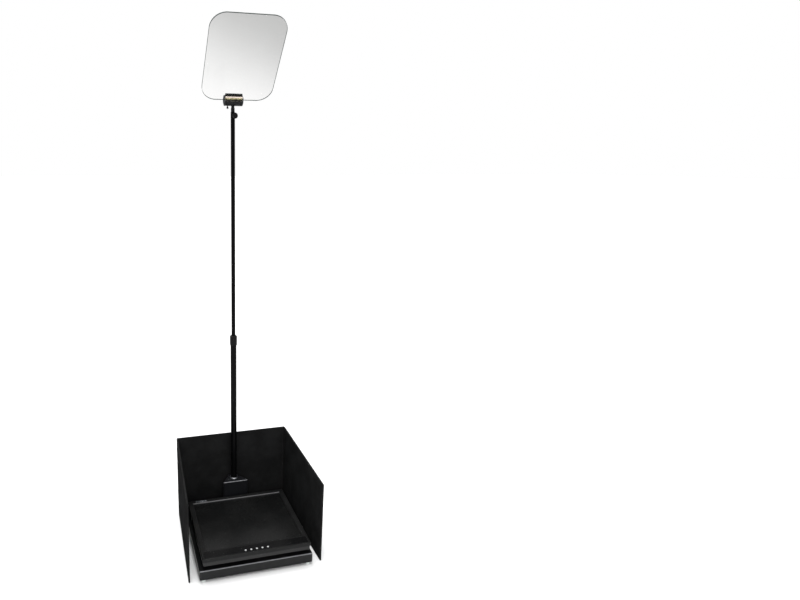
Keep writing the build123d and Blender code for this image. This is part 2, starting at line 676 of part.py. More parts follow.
def jaw_screws():
    """Screws from the front that hold the clamp plate."""
    screws = []
    for x, z in jaw_screw_points:
        head = deep_rod(3.4, -17.4, -15.0, x, z) - deep_rod(1.4, -18, -16.2, x, z)
        screws.append(leaned(head + deep_rod(2.0, -15.0, 2.8, x, z)))
    return screws


def glass_pad(side):
    """Rubber strip between a jaw and the glass, as high as the rear jaw."""
    y0, y1 = sorted((side * glass_t / 2, side * (glass_t / 2 + pad_t)))
    return leaned(block(-jaw_half, jaw_half, y0, y1, seat_h, seat_h + rear_jaw_h))


def glass_seat():
    return leaned(block(-jaw_half, jaw_half, -glass_t / 2, glass_t / 2, seat_h, seat_h + seat_t))


def end_cap(side):
    """Round cap on the end of the body, slotted for the glass."""
    x0, x1 = sorted((side * body_half, side * (body_half + cap_t)))
    cap = cross_rod(cap_r, x0, x1, 0, seat_h)
    outer = [e for e in cap.edges().filter_by(GeomType.CIRCLE) if abs(e.center().X) > body_half + 1]
    cap = fillet(outer, 0.9)
    half_slot = glass_t / 2 + 0.6
    return leaned(cap - block(-50, 50, -half_slot, half_slot, seat_h + 0.8, seat_h + 40))


def tilt_pin():
    return leaned(cross_rod(pin_r, -body_half + 0.1, body_half - 0.1))


def beam_splitter():
    """Half-mirror pane with rounded corners and ground edges."""
    pane = extrude(RectangleRounded(glass_w, glass_l, glass_corner_r), glass_t)
    pane = chamfer(pane.edges().group_by(Axis.Z)[0] + pane.edges().group_by(Axis.Z)[-1], 0.6)
    upright = Pos(glass_x, glass_t / 2, seat_h + seat_t + glass_l / 2) * Rot(90, 0, 0) * pane
    return leaned(upright)


def tilt_lever():
    """Cam lever on the tilt pin. It hangs straight down below the clamp body."""
    lever = cross_rod(lever_hub_r, lever_x - lever_half, lever_x + lever_half, pole_y, axis_z)
    lever += rod(lever_rod_r, axis_z - lever_reach, axis_z - 4, lever_x, pole_y)
    lever += Pos(lever_x, pole_y, axis_z - lever_reach) * Sphere(lever_ball_r)
    return lever - cross_rod(pin_r + fit_gap, lever_x - 9, lever_x + 9, pole_y, axis_z)


# ---- Every sub-part, by node name ------------------------------------------------------------------
nodes = {
    "base_tray": base_tray(),
    "base_plate": base_plate(),
    "base_plate_screws": base_plate_screws(),
    "rubber_feet": rubber_feet(),
    "foot_screws": foot_screws(),
    "vesa_plate": vesa_plate(),
    "vesa_screws": vesa_screws(),
    "monitor_rear_cover": monitor_rear_cover(),
    "monitor_bezel": monitor_bezel(),
    "screen_glass": screen_glass(),
    "lcd_module": lcd_module(),
    "monitor_chassis": monitor_chassis(),
    "main_board": main_board(),
    "power_board": power_board(),
    "button_board": button_board(),
    "power_socket": rear_socket(power_span, 3),
    "video_socket": rear_socket(video_span, 4),
    "plain_badge": plain_badge(),
    "pole_housing": pole_housing(),
    "housing_screws": housing_screws(),
    "pole_socket": pole_socket(),
    "socket_screws": socket_screws(),
    "pole_grub_screw": pole_grub_screw(),
    "foot_ring": foot_ring(),
    "lower_tube": lower_tube(),
    "pole_collet": pole_collet(),
    "twist_collar": twist_collar(),
    "upper_tube": upper_tube(),
    "slider_bush": slider_bush(),
    "knob_boss": knob_boss(),
    "swivel_stud": swivel_stud(),
    "swivel_knob": swivel_knob(),
    "head_post": head_post(),
    "clamp_body": clamp_body(),
    "front_jaw": front_jaw(),
    "jaw_screws": jaw_screws(),
    "front_pad": glass_pad(-1),
    "rear_pad": glass_pad(1),
    "glass_seat": glass_seat(),
    "tilt_pin": tilt_pin(),
    "beam_splitter": beam_splitter(),
    "tilt_lever": tilt_lever(),
    "hood_back_panel": hood_back_panel(),
    "hood_screws": hood_screws(),
}
for number, (x, y) in enumerate(button_points, 1):
    nodes[f"menu_button_{number}"] = menu_button(x, y)
for side_name, side in (("left", -1), ("right", 1)):
    nodes[f"hood_{side_name}_panel"] = hood_side_panel(side)
    nodes[f"hinge_fixed_{side_name}"] = hinge_leaf(side, False)
    nodes[f"hinge_moving_{side_name}"] = hinge_leaf(side, True)
    nodes[f"hinge_pins_{side_name}"] = hinge_pins(side)
    nodes[f"end_cap_{side_name}"] = end_cap(side)

os.makedirs("parts", exist_ok=True)
for name, shape in nodes.items():
    if isinstance(shape, list):
        shape = Compound(children=[solid for piece in shape for solid in piece.solids()])
    export_step(shape, f"parts/{name}.step")
print(len(nodes), "nodes written")
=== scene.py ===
"""Looks of a conference teleprompter stand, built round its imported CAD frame.

Sizes in the classes are millimetres in the stand's own frame: X to the right as the speaker sees it,
Y to the back, Z up, with the origin on the floor. A mesh is scaled to metres when its piece is made.
"""

import logging
import math
from collections.abc import Callable, Mapping, Sequence
from dataclasses import dataclass
from enum import Enum
from functools import cache
from typing import ClassVar

import bmesh
import bpy
from mathutils import Matrix, Vector


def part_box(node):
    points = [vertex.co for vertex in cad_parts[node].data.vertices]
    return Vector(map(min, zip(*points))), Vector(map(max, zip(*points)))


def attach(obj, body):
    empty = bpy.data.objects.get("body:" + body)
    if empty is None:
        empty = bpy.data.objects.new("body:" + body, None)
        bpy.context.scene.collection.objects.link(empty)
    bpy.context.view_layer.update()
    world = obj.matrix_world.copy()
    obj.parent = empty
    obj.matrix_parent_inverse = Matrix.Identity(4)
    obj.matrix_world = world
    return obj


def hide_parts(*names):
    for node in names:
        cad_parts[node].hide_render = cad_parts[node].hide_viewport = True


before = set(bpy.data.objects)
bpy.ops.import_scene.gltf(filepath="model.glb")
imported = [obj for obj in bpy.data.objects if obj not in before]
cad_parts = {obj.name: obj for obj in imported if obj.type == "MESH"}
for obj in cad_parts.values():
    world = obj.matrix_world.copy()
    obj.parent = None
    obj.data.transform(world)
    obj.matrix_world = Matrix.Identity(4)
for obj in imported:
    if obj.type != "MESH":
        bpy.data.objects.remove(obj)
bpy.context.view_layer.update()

log = logging.getLogger("teleprompter")

Flat = tuple[float, float]
Colour = tuple[float, float, float]
Shape = bmesh.types.BMesh
Socket = bpy.types.NodeSocket

MM = 0.001                 # metres in a millimetre
LEAST_CORNER = 0.12        # smallest radius of a rounded upright corner
SMOOTH_BELOW = 32.0        # degrees between two faces that are shaded as one surface
ALONG_X = Matrix(((0, 0, 1, 0), (1, 0, 0, 0), (0, 1, 0, 0), (0, 0, 0, 1)))    # outline in YZ, thickness in X
ALONG_Y = Matrix(((1, 0, 0, 0), (0, 0, -1, 0), (0, 1, 0, 0), (0, 0, 0, 1)))   # outline in XZ, thickness to -Y
MIRROR_X = Matrix.Scale(-1.0, 4, (1.0, 0.0, 0.0))


# ---- Shapes ----------------------------------------------------------------------------------------
def rounded(outline: Sequence[Flat], radius: float | Sequence[float], steps: int = 4) -> list[Flat]:
    """Rounds the corners of a closed outline.

    Args:
        outline: Corner points in order.
        radius: One radius for all corners, or one for each. Zero leaves a corner sharp.
        steps: Straight runs in each rounded corner.

    Returns:
        The points of the rounded outline.
    """
    radii = [radius] * len(outline) if isinstance(radius, (int, float)) else list(radius)
    points: list[Flat] = []
    for i, (point, r) in enumerate(zip(outline, radii)):
        corner = Vector(point)
        back, ahead = Vector(outline[i - 1]) - corner, Vector(outline[(i + 1) % len(outline)]) - corner
        if r <= 0 or min(back.length, ahead.length) < 1e-6:
            points.append(tuple(corner))
            continue
        half = back.angle(ahead) / 2
        reach = min(r / math.tan(half), 0.48 * back.length, 0.48 * ahead.length)
        towards = (back.normalized() + ahead.normalized()).normalized()
        centre = corner + towards * (reach / math.cos(half))
        first = corner + back.normalized() * reach - centre
        last = corner + ahead.normalized() * reach - centre
        sweep = math.atan2(first.x * last.y - first.y * last.x, first.dot(last))
        for k in range(steps + 1):
            c, s = math.cos(sweep * k / steps), math.sin(sweep * k / steps)
            points.append((centre.x + first.x * c - first.y * s, centre.y + first.x * s + first.y * c))
    return points


def rectangle(x0: float, x1: float, y0: float, y1: float) -> list[Flat]:
    """Corners of a rectangle, counter-clockwise."""
    return [(x0, y0), (x1, y0), (x1, y1), (x0, y1)]


def inset(outline: Sequence[Flat], amount: float) -> list[Flat]:
    """Moves an outline inwards.

    Args:
        outline: Counter-clockwise corner points.
        amount: Distance to move each side, or outwards if it is negative.

    Returns:
        The moved outline.
    """
    moved: list[Flat] = []
    for i, point in enumerate(outline):
        corner = Vector(point)
        back = (corner - Vector(outline[i - 1])).normalized()
        ahead = (Vector(outline[(i + 1) % len(outline)]) - corner).normalized()
        inward = Vector((-back.y - ahead.y, back.x + ahead.x))
        moved.append(tuple(corner + inward * (2 * amount / inward.length_squared)))
    return moved


def edged(z0: float, z1: float, r0: float, r1: float, steps: int = 4) -> list[Flat]:
    """Layers of a plate with rolled edges.

    Args:
        z0: Lower face.
        z1: Upper face.
        r0: Radius of the lower edge.
        r1: Radius of the upper edge.
        steps: Straight runs in each rolled edge.

    Returns:
        An inset and a height for each layer, from the bottom up.
    """
    angles = [math.pi / 2 * k / steps for k in range(steps + 1)]
    low = [(r0 * (1 - math.sin(a)), z0 + r0 * (1 - math.cos(a))) for a in angles] if r0 else [(0.0, z0)]
    high = [(r1 * (1 - math.cos(a)), z1 - r1 * (1 - math.sin(a))) for a in angles] if r1 else [(0.0, z1)]
    return low + high


def stack(outline: Sequence[Flat], layers: Sequence[Flat], corner: float = 0.0, steps: int = 4) -> Shape:
    """Closed solid through one outline, repeated at several insets and heights.

    Args:
        outline: Counter-clockwise outline.
        layers: Inset and height of each layer.
        corner: Radius of the outline's upright corners, or 0 to leave them as they are.
        steps: Straight runs in each rounded corner.

    Returns:
        The new mesh.
    """
    shape = bmesh.new()
    loops = []
    for amount, z in layers:
        line = inset(outline, amount)
        if corner:
            line = rounded(line, max(corner - amount, LEAST_CORNER), steps)
        loops.append([shape.verts.new((x, y, z)) for x, y in line])
    for low, high in zip(loops, loops[1:]):
        for k in range(len(low)):
            shape.faces.new((low[k - 1], low[k], high[k], high[k - 1]))
    shape.faces.new(loops[0][::-1])
    shape.faces.new(loops[-1])
    return shape


def turned(profile: Sequence[Flat], edge: float | Sequence[float] = 0.4, turns: int = 64,
           ripple: Callable[[float, float], float] | None = None) -> Shape:
    """Turns an outline about Z.

    Args:
        profile: Radius and height of each corner. It makes a solid if it starts and ends at radius 0,
            and otherwise a ring.
        edge: Radius that each corner is eased to.
        turns: Number of facets round the axis.
        ripple: Factor on the radius for an angle and a height, for flutes and scallops.

    Returns:
        The new mesh.
    """
    solid = profile[0][0] == 0
    eases = [edge] * len(profile) if isinstance(edge, (int, float)) else edge
    line = rounded(profile, [0.0 if r == 0 else ease for (r, _), ease in zip(profile, eases)])
    shape = bmesh.new()
    rings = []
    for r, z in line:
        if r < 1e-6:
            rings.append([shape.verts.new((0, 0, z))])
            continue
        angles = [2 * math.pi * k / turns for k in range(turns)]
        reach = [r * (ripple(a, z) if ripple else 1.0) for a in angles]
        rings.append([shape.verts.new((d * math.cos(a), d * math.sin(a), z)) for a, d in zip(angles, reach)])
    for low, high in list(zip(rings, rings[1:])) + ([] if solid else [(rings[-1], rings[0])]):
        for k in range(turns):
            spots = (low[k % len(low)], low[(k + 1) % len(low)],
                     high[(k + 1) % len(high)], high[k % len(high)])
            corners = list(dict.fromkeys(spots))
            if len(corners) > 2:
                shape.faces.new(corners)
    return shape


def moved(shape: Shape, *steps: Matrix) -> Shape:
    """Places a mesh.

    Args:
        shape: The mesh, which is changed in place.
        steps: Matrices that are applied from the last to the first.

    Returns:
        The same mesh.
    """
    whole = Matrix.Identity(4)
    for step in steps:
        whole = whole @ step
    bmesh.ops.transform(shape, matrix=whole, verts=shape.verts)
    if whole.determinant() < 0:
        bmesh.ops.reverse_faces(shape, faces=shape.faces)
    return shape


def joined(*shapes: Shape) -> Shape:
    """Puts meshes that don't touch into one.

    Args:
        shapes: The meshes, which are freed.

    Returns:
        The new mesh.
    """
    whole = bmesh.new()
    for shape in shapes:
        carrier = bpy.data.meshes.new("carrier")
        shape.to_mesh(carrier)
        shape.free()
        whole.from_mesh(carrier)
        bpy.data.meshes.remove(carrier)
    return whole


def combined(operation: str, shape: Shape, *others: Shape) -> Shape:
    """Cuts other solids out of a solid, or welds them to it.

    Args:
        operation: DIFFERENCE or UNION.
        shape: The solid that is worked on.
        others: The solids that are cut out of it or added to it.

    Returns:
        The new mesh. The meshes that went in are freed.
    """
    holders = []
    for n, part in enumerate((shape, *others)):
        mesh = bpy.data.meshes.new(f"work_{n}")
        bmesh.ops.recalc_face_normals(part, faces=part.faces)
        part.to_mesh(mesh)
        part.free()
        holders.append(bpy.data.objects.new(f"work_{n}", mesh))
        bpy.context.scene.collection.objects.link(holders[-1])
    for tool in holders[1:]:
        step = holders[0].modifiers.new("Work", "BOOLEAN")
        step.object, step.operation, step.solver = tool, operation, "EXACT"
    result = bmesh.new()
    result.from_object(holders[0], bpy.context.evaluated_depsgraph_get())
    for holder in holders:
        mesh = holder.data
        bpy.data.objects.remove(holder)
        bpy.data.meshes.remove(mesh)
    return result


def carved(shape: Shape, *tools: Shape) -> Shape:
    """Cuts other solids out of a solid."""
    return combined("DIFFERENCE", shape, *tools)


def at(x: float = 0.0, y: float = 0.0, z: float = 0.0) -> Matrix:
    """Shift by a distance along each axis."""
    return Matrix.Translation((x, y, z))


def spun(degrees: float, axis: str = "Z") -> Matrix:
    """Turn about an axis."""
    return Matrix.Rotation(math.radians(degrees), 4, axis)


def bar(x0: float, x1: float, y0: float, y1: float, z0: float, z1: float, r: float = 0.5) -> Shape:
    """Block with all its edges eased."""
    return stack(rectangle(x0, x1, y0, y1), edged(z0, z1, r, r, 3), r + LEAST_CORNER, 3)


def peg(r: float, z0: float, z1: float, x: float = 0.0, y: float = 0.0, turns: int = 32) -> Shape:
    """Plain upright peg, used to cut round holes."""
    return moved(turned([(0, z0), (r, z0), (r, z1), (0, z1)], 0.0, turns), at(x, y))


class Drive(Enum):
    """Recess in a screw head."""

    CROSS = "cross"
    HEXAGON = "hexagon"


def screw_head(r: float, h: float, drive: Drive, dome: float = 0.35) -> Shape:
    """Screw head that sits on Z = 0 and points up.

    Args:
        r: Radius of the head.
        h: Height of the head.
        drive: Kind of recess.
        dome: Share of the height that the rounded rim takes.

    Returns:
        The head as a mesh.
    """
    head = turned([(0, 0), (r, 0), (r, h), (0, h)], [0, 0.15, h * dome * 2, 0], 40)
    if drive is Drive.HEXAGON:
        return carved(head, peg(r * 0.45, h * 0.4, h + 1, turns=6))
    slots = [stack(rectangle(-a, a, -b, b), [(0.12, h * 0.45), (0, h + 1)])
             for a, b in ((r * 0.55, r * 0.13), (r * 0.13, r * 0.55))]
    return carved(head, *slots)


@dataclass(frozen=True)
class Extent:
    """Box of a CAD node at rest, in millimetres."""

    x0: float
    y0: float
    z0: float
    x1: float
    y1: float
    z1: float

    @classmethod
    def of(cls, node: str) -> "Extent":
        """Reads the box of a node from the frame."""
        low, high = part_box(node)
        return cls(*(v / MM for v in (*low, *high)))

    @property
    def x(self) -> float:
        """Middle in X."""
        return (self.x0 + self.x1) / 2

    @property
    def y(self) -> float:
        """Middle in Y."""
        return (self.y0 + self.y1) / 2


# ---- Shader effects --------------------------------------------------------------------------------
class Bench:
    """Adds nodes to one node tree and wires them up as it goes."""

    def __init__(self, tree: bpy.types.NodeTree) -> None:
        """Takes the tree to work on."""
        self.tree = tree

    def add(self, kind: str, feeds: Mapping[str | int, object] | None = None,
            **settings: object) -> bpy.types.Node:
        """Adds one node.

        Args:
            kind: Node type without its ShaderNode prefix.
            feeds: Output socket or plain value for each input, by name or number.
            settings: Properties of the node itself.

        Returns:
            The new node.
        """
        node = self.tree.nodes.new(f"ShaderNode{kind}")
        node.location = (200.0 * len(self.tree.nodes), 0.0)
        for key, value in settings.items():
            setattr(node, key, value)
        for key, value in (feeds or {}).items():
            if isinstance(value, Socket):
                self.tree.links.new(value, node.inputs[key])
            else:
                node.inputs[key].default_value = value
        return node

    def group(self, tree: bpy.types.NodeTree, **values: float) -> bpy.types.Node:
        """Adds a node group and sets its inputs by name."""
        node = self.add("Group", node_tree=tree)
        for label, value in values.items():
            node.inputs[label].default_value = value
        return node

    def maths(self, operation: str, *values: float | Socket, clamp: bool = False) -> Socket:
        """Works out one operation on numbers."""
        return self.add("Math", dict(enumerate(values)), operation=operation, use_clamp=clamp).outputs[0]

    def blend(self, factor: float | Socket, first: Colour | Socket, second: Colour | Socket) -> Socket:
        """Mixes two colours by a factor."""
        pair = [c if isinstance(c, Socket) else (*c, 1.0) for c in (first, second)]
        return self.add("Mix", {0: factor, 6: pair[0], 7: pair[1]}, data_type="RGBA").outputs[2]

    def ramp(self, value: Socket, low: float, high: float) -> Socket:
        """Smooth step of a value from 0 at low to 1 at high."""
        feeds = {"Value": value, "From Min": low, "From Max": high}
        return self.add("MapRange", feeds, interpolation_type="SMOOTHSTEP").outputs[0]

    def noise(self, place: Socket, scale: float | Socket, detail: float = 2.0) -> Socket:
        """Soft noise between about 0.2 and 0.8."""
        return self.add("TexNoise", {"Vector": place, "Scale": scale, "Detail": detail}).outputs[0]


def effect(name: str, inputs: Mapping[str, float],
           outputs: Sequence[str]) -> tuple[Bench, dict[str, Socket], bpy.types.Node]:
    """Starts a shader node group.

    Args:
        name: Name of the group.
        inputs: Name and usual value of each input.
        outputs: Name of each output.

    Returns:
        The bench for the group, its inputs by name, and the node that its outputs are fed to.
    """
    tree = bpy.data.node_groups.new(name, "ShaderNodeTree")
    for label, value in inputs.items():
        tree.interface.new_socket(label, in_out="INPUT", socket_type="NodeSocketFloat").default_value = value
    for label in outputs:
        tree.interface.new_socket(label, in_out="OUTPUT", socket_type="NodeSocketFloat")
    entry, leave = tree.nodes.new("NodeGroupInput"), tree.nodes.new("NodeGroupOutput")
    return Bench(tree), {s.name: s for s in entry.outputs if s.name}, leave


@cache
def edge_wear_and_highlight() -> bpy.types.NodeTree:
    """Builds the mask of the lightened edges: partly rubbed paint, partly a painted highlight.

    Returns:
        A group that gives 1 on a lightened edge and 0 on a flat face.
    """
    bench, given, leave = effect("Edge wear", {"Width": 0.0015, "Amount": 0.5}, ["Mask"])
    spread = bench.add("Bevel", {"Radius": given["Width"]}, samples=6).outputs[0]
    facing = bench.add("NewGeometry").outputs["Normal"]
    along = bench.add("VectorMath", {0: spread, 1: facing}, operation="DOT_PRODUCT").outputs["Value"]
    bend = bench.ramp(bench.maths("SUBTRACT", 1.0, along), 0.01, 0.16)
    place = bench.add("TexCoord").outputs["Object"]
    broken = bench.maths("ADD", bench.maths("MULTIPLY", bench.noise(place, 130.0, 4.0), 0.7), 0.4)
    mask = bench.maths("MULTIPLY", bench.maths("MULTIPLY", bend, broken), given["Amount"], clamp=True)
    bench.tree.links.new(mask, leave.inputs["Mask"])
    return bench.tree


@cache
def dust_film() -> bpy.types.NodeTree:
    """Builds the mask of the fine dust that settles on faces that look up.

    Returns:
        A group that gives 0 where the surface is clean.
    """
    bench, given, leave = effect("Dust film", {"Amount": 0.2}, ["Mask"])
    facing = bench.add("NewGeometry").outputs["Normal"]
    up = bench.ramp(bench.add("SeparateXYZ", {0: facing}).outputs["Z"], 0.3, 1.0)
    place = bench.add("TexCoord").outputs["Object"]
    cloud = bench.ramp(bench.noise(place, 9.0, 5.0), 0.35, 0.75)
    specks = bench.ramp(bench.noise(place, 900.0, 1.0), 0.55, 0.8)
    drift = bench.maths("ADD", bench.maths("MULTIPLY", cloud, 0.6), bench.maths("MULTIPLY", specks, 0.5))
    mask = bench.maths("MULTIPLY", bench.maths("MULTIPLY", up, drift), given["Amount"], clamp=True)
    bench.tree.links.new(mask, leave.inputs["Mask"])
    return bench.tree


@cache
def mottle() -> bpy.types.NodeTree:
    """Builds a slow drift in tone over a surface, with fainter patches inside it.

    Returns:
        A group that gives a tone between 0 and 1.
    """
    bench, given, leave = effect("Mottle", {"Scale": 12.0}, ["Tone"])
    place = bench.add("TexCoord").outputs["Object"]
    broad = bench.ramp(bench.noise(place, given["Scale"], 3.0), 0.3, 0.7)
    small = bench.noise(place, bench.maths("MULTIPLY", given["Scale"], 7.0), 3.0)
    tone = bench.maths("ADD", bench.maths("MULTIPLY", broad, 0.6), bench.maths("MULTIPLY", small, 0.4))
    bench.tree.links.new(tone, leave.inputs["Tone"])
    return bench.tree


@cache
def rub_marks() -> bpy.types.NodeTree:
    """Builds the mask of fine hairline scratches that run in two directions.

    Returns:
        A group that gives 0 between the scratches.
    """
    bench, given, leave = effect("Rub marks", {"Scale": 40.0, "Amount": 0.3}, ["Mask"])
    place = bench.add("TexCoord").outputs["Object"]
    layers = []
    for turn, stretch in (((0.4, 0.9, 0.3), (1.0, 26.0, 26.0)), ((1.1, 0.2, 1.3), (22.0, 1.0, 22.0))):
        lie = bench.add("Mapping", {"Vector": place, "Rotation": turn, "Scale": stretch}).outputs[0]
        layers.append(bench.ramp(bench.noise(lie, given["Scale"], 2.0), 0.62, 0.72))
    mask = bench.maths("MULTIPLY", bench.maths("MAXIMUM", *layers), given["Amount"])
    bench.tree.links.new(mask, leave.inputs["Mask"])
    return bench.tree


class Grain(Enum):
    """Fine relief of a surface. Every grain is a node group with a Scale, and gives a Height and a Tone."""

    MOULDED = "Moulded grain"
    PEBBLE = "Pebble grain"
    PEEL = "Paint peel"
    DRAWN = "Drawn lines"
    BRUSHED = "Brush lines"
    TURNED = "Turned lines"

    @cache
    def tree(self) -> bpy.types.NodeTree:
        """Builds the node group of this grain once.

        Returns:
            A group that gives the relief and the tone that goes with it.
        """
        bench, given, leave = effect(self.value, {"Scale": 800.0}, ["Height", "Tone"])
        place, scale = bench.add("TexCoord").outputs["Object"], given["Scale"]
        stretches = {Grain.DRAWN: (1.0, 1.0, 0.02), Grain.BRUSHED: (0.02, 1.0, 1.0)}
        if self is Grain.PEBBLE:
            wander = bench.add("TexNoise", {"Vector": place, "Scale": scale, "Detail": 2.0}).outputs["Color"]
            bent = bench.add("VectorMath", {0: wander, 1: (0.0012, 0.0012, 0.0012), 2: place},
                             operation="MULTIPLY_ADD").outputs[0]
            cells = bench.add("TexVoronoi", {"Vector": bent, "Scale": scale},
                              feature="DISTANCE_TO_EDGE").outputs[0]
            height = bench.ramp(cells, 0.0, 0.35)
            tone = bench.maths("ADD", bench.maths("MULTIPLY", height, 0.5),
                               bench.maths("MULTIPLY", bench.noise(place, 350.0, 3.0), 0.5))
        elif self in stretches:
            lie = bench.add("VectorMath", {0: place, 1: stretches[self]}, operation="MULTIPLY").outputs[0]
            height = bench.noise(lie, scale, 4.0)
            tone = bench.ramp(height, 0.35, 0.65)
        elif self is Grain.TURNED:
            axis = bench.add("VectorMath", {0: place, 1: (0.0, Mast.axis_y * MM, 0.0)},
                             operation="SUBTRACT").outputs[0]
            parts = bench.add("SeparateXYZ", {0: axis})
            flat = bench.add("CombineXYZ", {0: parts.outputs["X"], 1: parts.outputs["Y"]}).outputs[0]
            reach = bench.add("VectorMath", {0: flat}, operation="LENGTH").outputs["Value"]
            lie = bench.add("CombineXYZ", {0: reach, 1: parts.outputs["Z"]}).outputs[0]
            height = bench.noise(lie, scale, 2.0)
            tone = bench.ramp(height, 0.3, 0.7)
        else:
            fine = bench.noise(place, scale, 3.0 if self is Grain.MOULDED else 0.0)
            broad = bench.noise(place, bench.maths("MULTIPLY", scale, 0.23), 1.0)
            height = bench.maths("ADD", bench.maths("MULTIPLY", fine, 0.65),
                                 bench.maths("MULTIPLY", broad, 0.35))
            tone = bench.ramp(height, 0.3, 0.7)
        bench.tree.links.new(height, leave.inputs["Height"])
        bench.tree.links.new(tone, leave.inputs["Tone"])
        return bench.tree


# ---- Finishes --------------------------------------------------------------------------------------
@dataclass(frozen=True)
class Finish:
    """A surface finish: colour, gloss, relief, how it has aged, and lighter edges that are partly a painted
    highlight. Depth and width are millimetres.
    """

    name: str
    colour: Colour
    roughness: float
    grain: Grain = Grain.MOULDED
    grain_scale: float = 900.0
    grain_depth: float = 0.02
    tone_spread: float = 0.18
    mottle_scale: float = 12.0
    roughness_spread: float = 0.1
    metallic: float = 0.0
    specular: float = 0.35
    coat: float = 0.0
    coat_roughness: float = 0.1
    worn_and_highlight: Colour = (0.09, 0.09, 0.095)
    wear_and_highlight: float = 0.0
    wear_and_highlight_width: float = 1.2
    scratches: float = 0.15
    dust: float = 0.1

    @cache
    def material(self) -> bpy.types.Material:
        """Builds the material of this finish once.

        Returns:
            The material, shared by every piece with this finish.
        """
        material = bpy.data.materials.new(self.name)
        material.use_nodes = True
        material.node_tree.nodes.clear()
        bench = Bench(material.node_tree)
        grain = bench.group(self.grain.tree(), Scale=self.grain_scale)
        patches = bench.group(mottle(), Scale=self.mottle_scale).outputs[0]
        edge = bench.group(edge_wear_and_highlight(), Width=self.wear_and_highlight_width * MM, Amount=self.wear_and_highlight).outputs[0]
        film = bench.group(dust_film(), Amount=self.dust).outputs[0]
        marks = bench.group(rub_marks(), Amount=self.scratches).outputs[0]
        tone = bench.maths("ADD", bench.maths("MULTIPLY", patches, 0.6),
                           bench.maths("MULTIPLY", grain.outputs["Tone"], 0.4))
        darker, lighter = (tuple(c * (1 + s * self.tone_spread) for c in self.colour) for s in (-1, 1))
        colour = bench.blend(tone, darker, lighter)
        # Lighter colour along the edges: partly rubbed paint, partly a painted highlight.
        colour = bench.blend(edge, colour, self.worn_and_highlight)
        colour = bench.blend(film, colour, (0.22, 0.21, 0.2))
        drift = bench.maths("MULTIPLY", bench.maths("SUBTRACT", tone, 0.5), 2 * self.roughness_spread)
        rough = bench.maths("ADD", bench.maths("ADD", drift, self.roughness),
                            bench.maths("MULTIPLY", film, 0.3))
        rough = bench.maths("SUBTRACT", rough, bench.maths("MULTIPLY", marks, 0.25), clamp=True)
        relief = bench.maths("SUBTRACT", grain.outputs["Height"], bench.maths("MULTIPLY", marks, 0.4))
        bump = bench.add("Bump", {"Height": relief, "Distance": self.grain_depth * MM, "Strength": 1.0})
        shader = bench.add("BsdfPrincipled", {
            "Base Color": colour, "Roughness": rough, "Normal": bump.outputs[0], "Metallic": self.metallic,
            "Specular IOR Level": self.specular, "Coat Weight": self.coat,
            "Coat Roughness": self.coat_roughness})
        bench.add("OutputMaterial", {"Surface": shader.outputs[0]})
        return material


@dataclass(frozen=True)
class HalfMirror:
    """Beam-splitter glass: clear, with a thin coating that is denser towards its far upper corner."""

    name: str = "half_mirror_glass"
    dense: Colour = (0.545, 0.545, 0.54)
    thin: Colour = (0.985, 0.985, 0.98)
    ior: float = 1.16
    specular: float = 0.05

    @cache
    def fade(self) -> bpy.types.NodeTree:
        """Builds the fade of the coating and the faint smears on it.

        Returns:
            A group that gives how thin the coating is at a point, from 0 to 1, and a mask of the smears.
        """
        bench, given, leave = effect("Coating fade", {"Rise": 1.0, "Slant": 0.35}, ["Thin", "Smear"])
        place = bench.add("TexCoord").outputs["Generated"]
        parts = bench.add("SeparateXYZ", {0: place})
        slant = bench.maths("MULTIPLY", parts.outputs["X"], given["Slant"])
        height = bench.maths("MULTIPLY", parts.outputs["Z"], given["Rise"])
        wave = bench.maths("MULTIPLY", bench.noise(place, 2.0, 1.0), 0.08)
        level = bench.maths("ADD", bench.maths("ADD", height, slant), wave)
        thin = bench.maths("SUBTRACT", 1.0, bench.ramp(level, 0.1, 1.35))
        smear = bench.ramp(bench.noise(place, 14.0, 4.0), 0.45, 0.8)
        bench.tree.links.new(thin, leave.inputs["Thin"])
        bench.tree.links.new(smear, leave.inputs["Smear"])
        return bench.tree

    @cache
    def material(self) -> bpy.types.Material:
        """Builds the glass once. Rays from lamps pass straight through, so it casts no hard shadow.

        Returns:
            The material of the pane.
        """
        material = bpy.data.materials.new(self.name)
        material.use_nodes = True
        material.node_tree.nodes.clear()
        bench = Bench(material.node_tree)
        coating = bench.add("Group", node_tree=self.fade())
        tint = bench.blend(coating.outputs["Thin"], self.dense, self.thin)
        shader = bench.add("BsdfPrincipled", {
            "Base Color": tint, "Roughness": bench.maths("MULTIPLY", coating.outputs["Smear"], 0.02),
            "Transmission Weight": 1.0, "IOR": self.ior, "Specular IOR Level": self.specular})
        open_way = bench.add("BsdfTransparent", {"Color": (0.9, 0.9, 0.9, 1.0)})
        lamp_ray = bench.add("LightPath").outputs["Is Shadow Ray"]
        both = bench.add("MixShader", {0: lamp_ray, 1: shader.outputs[0], 2: open_way.outputs[0]})
        bench.add("OutputMaterial", {"Surface": both.outputs[0]})
        return material
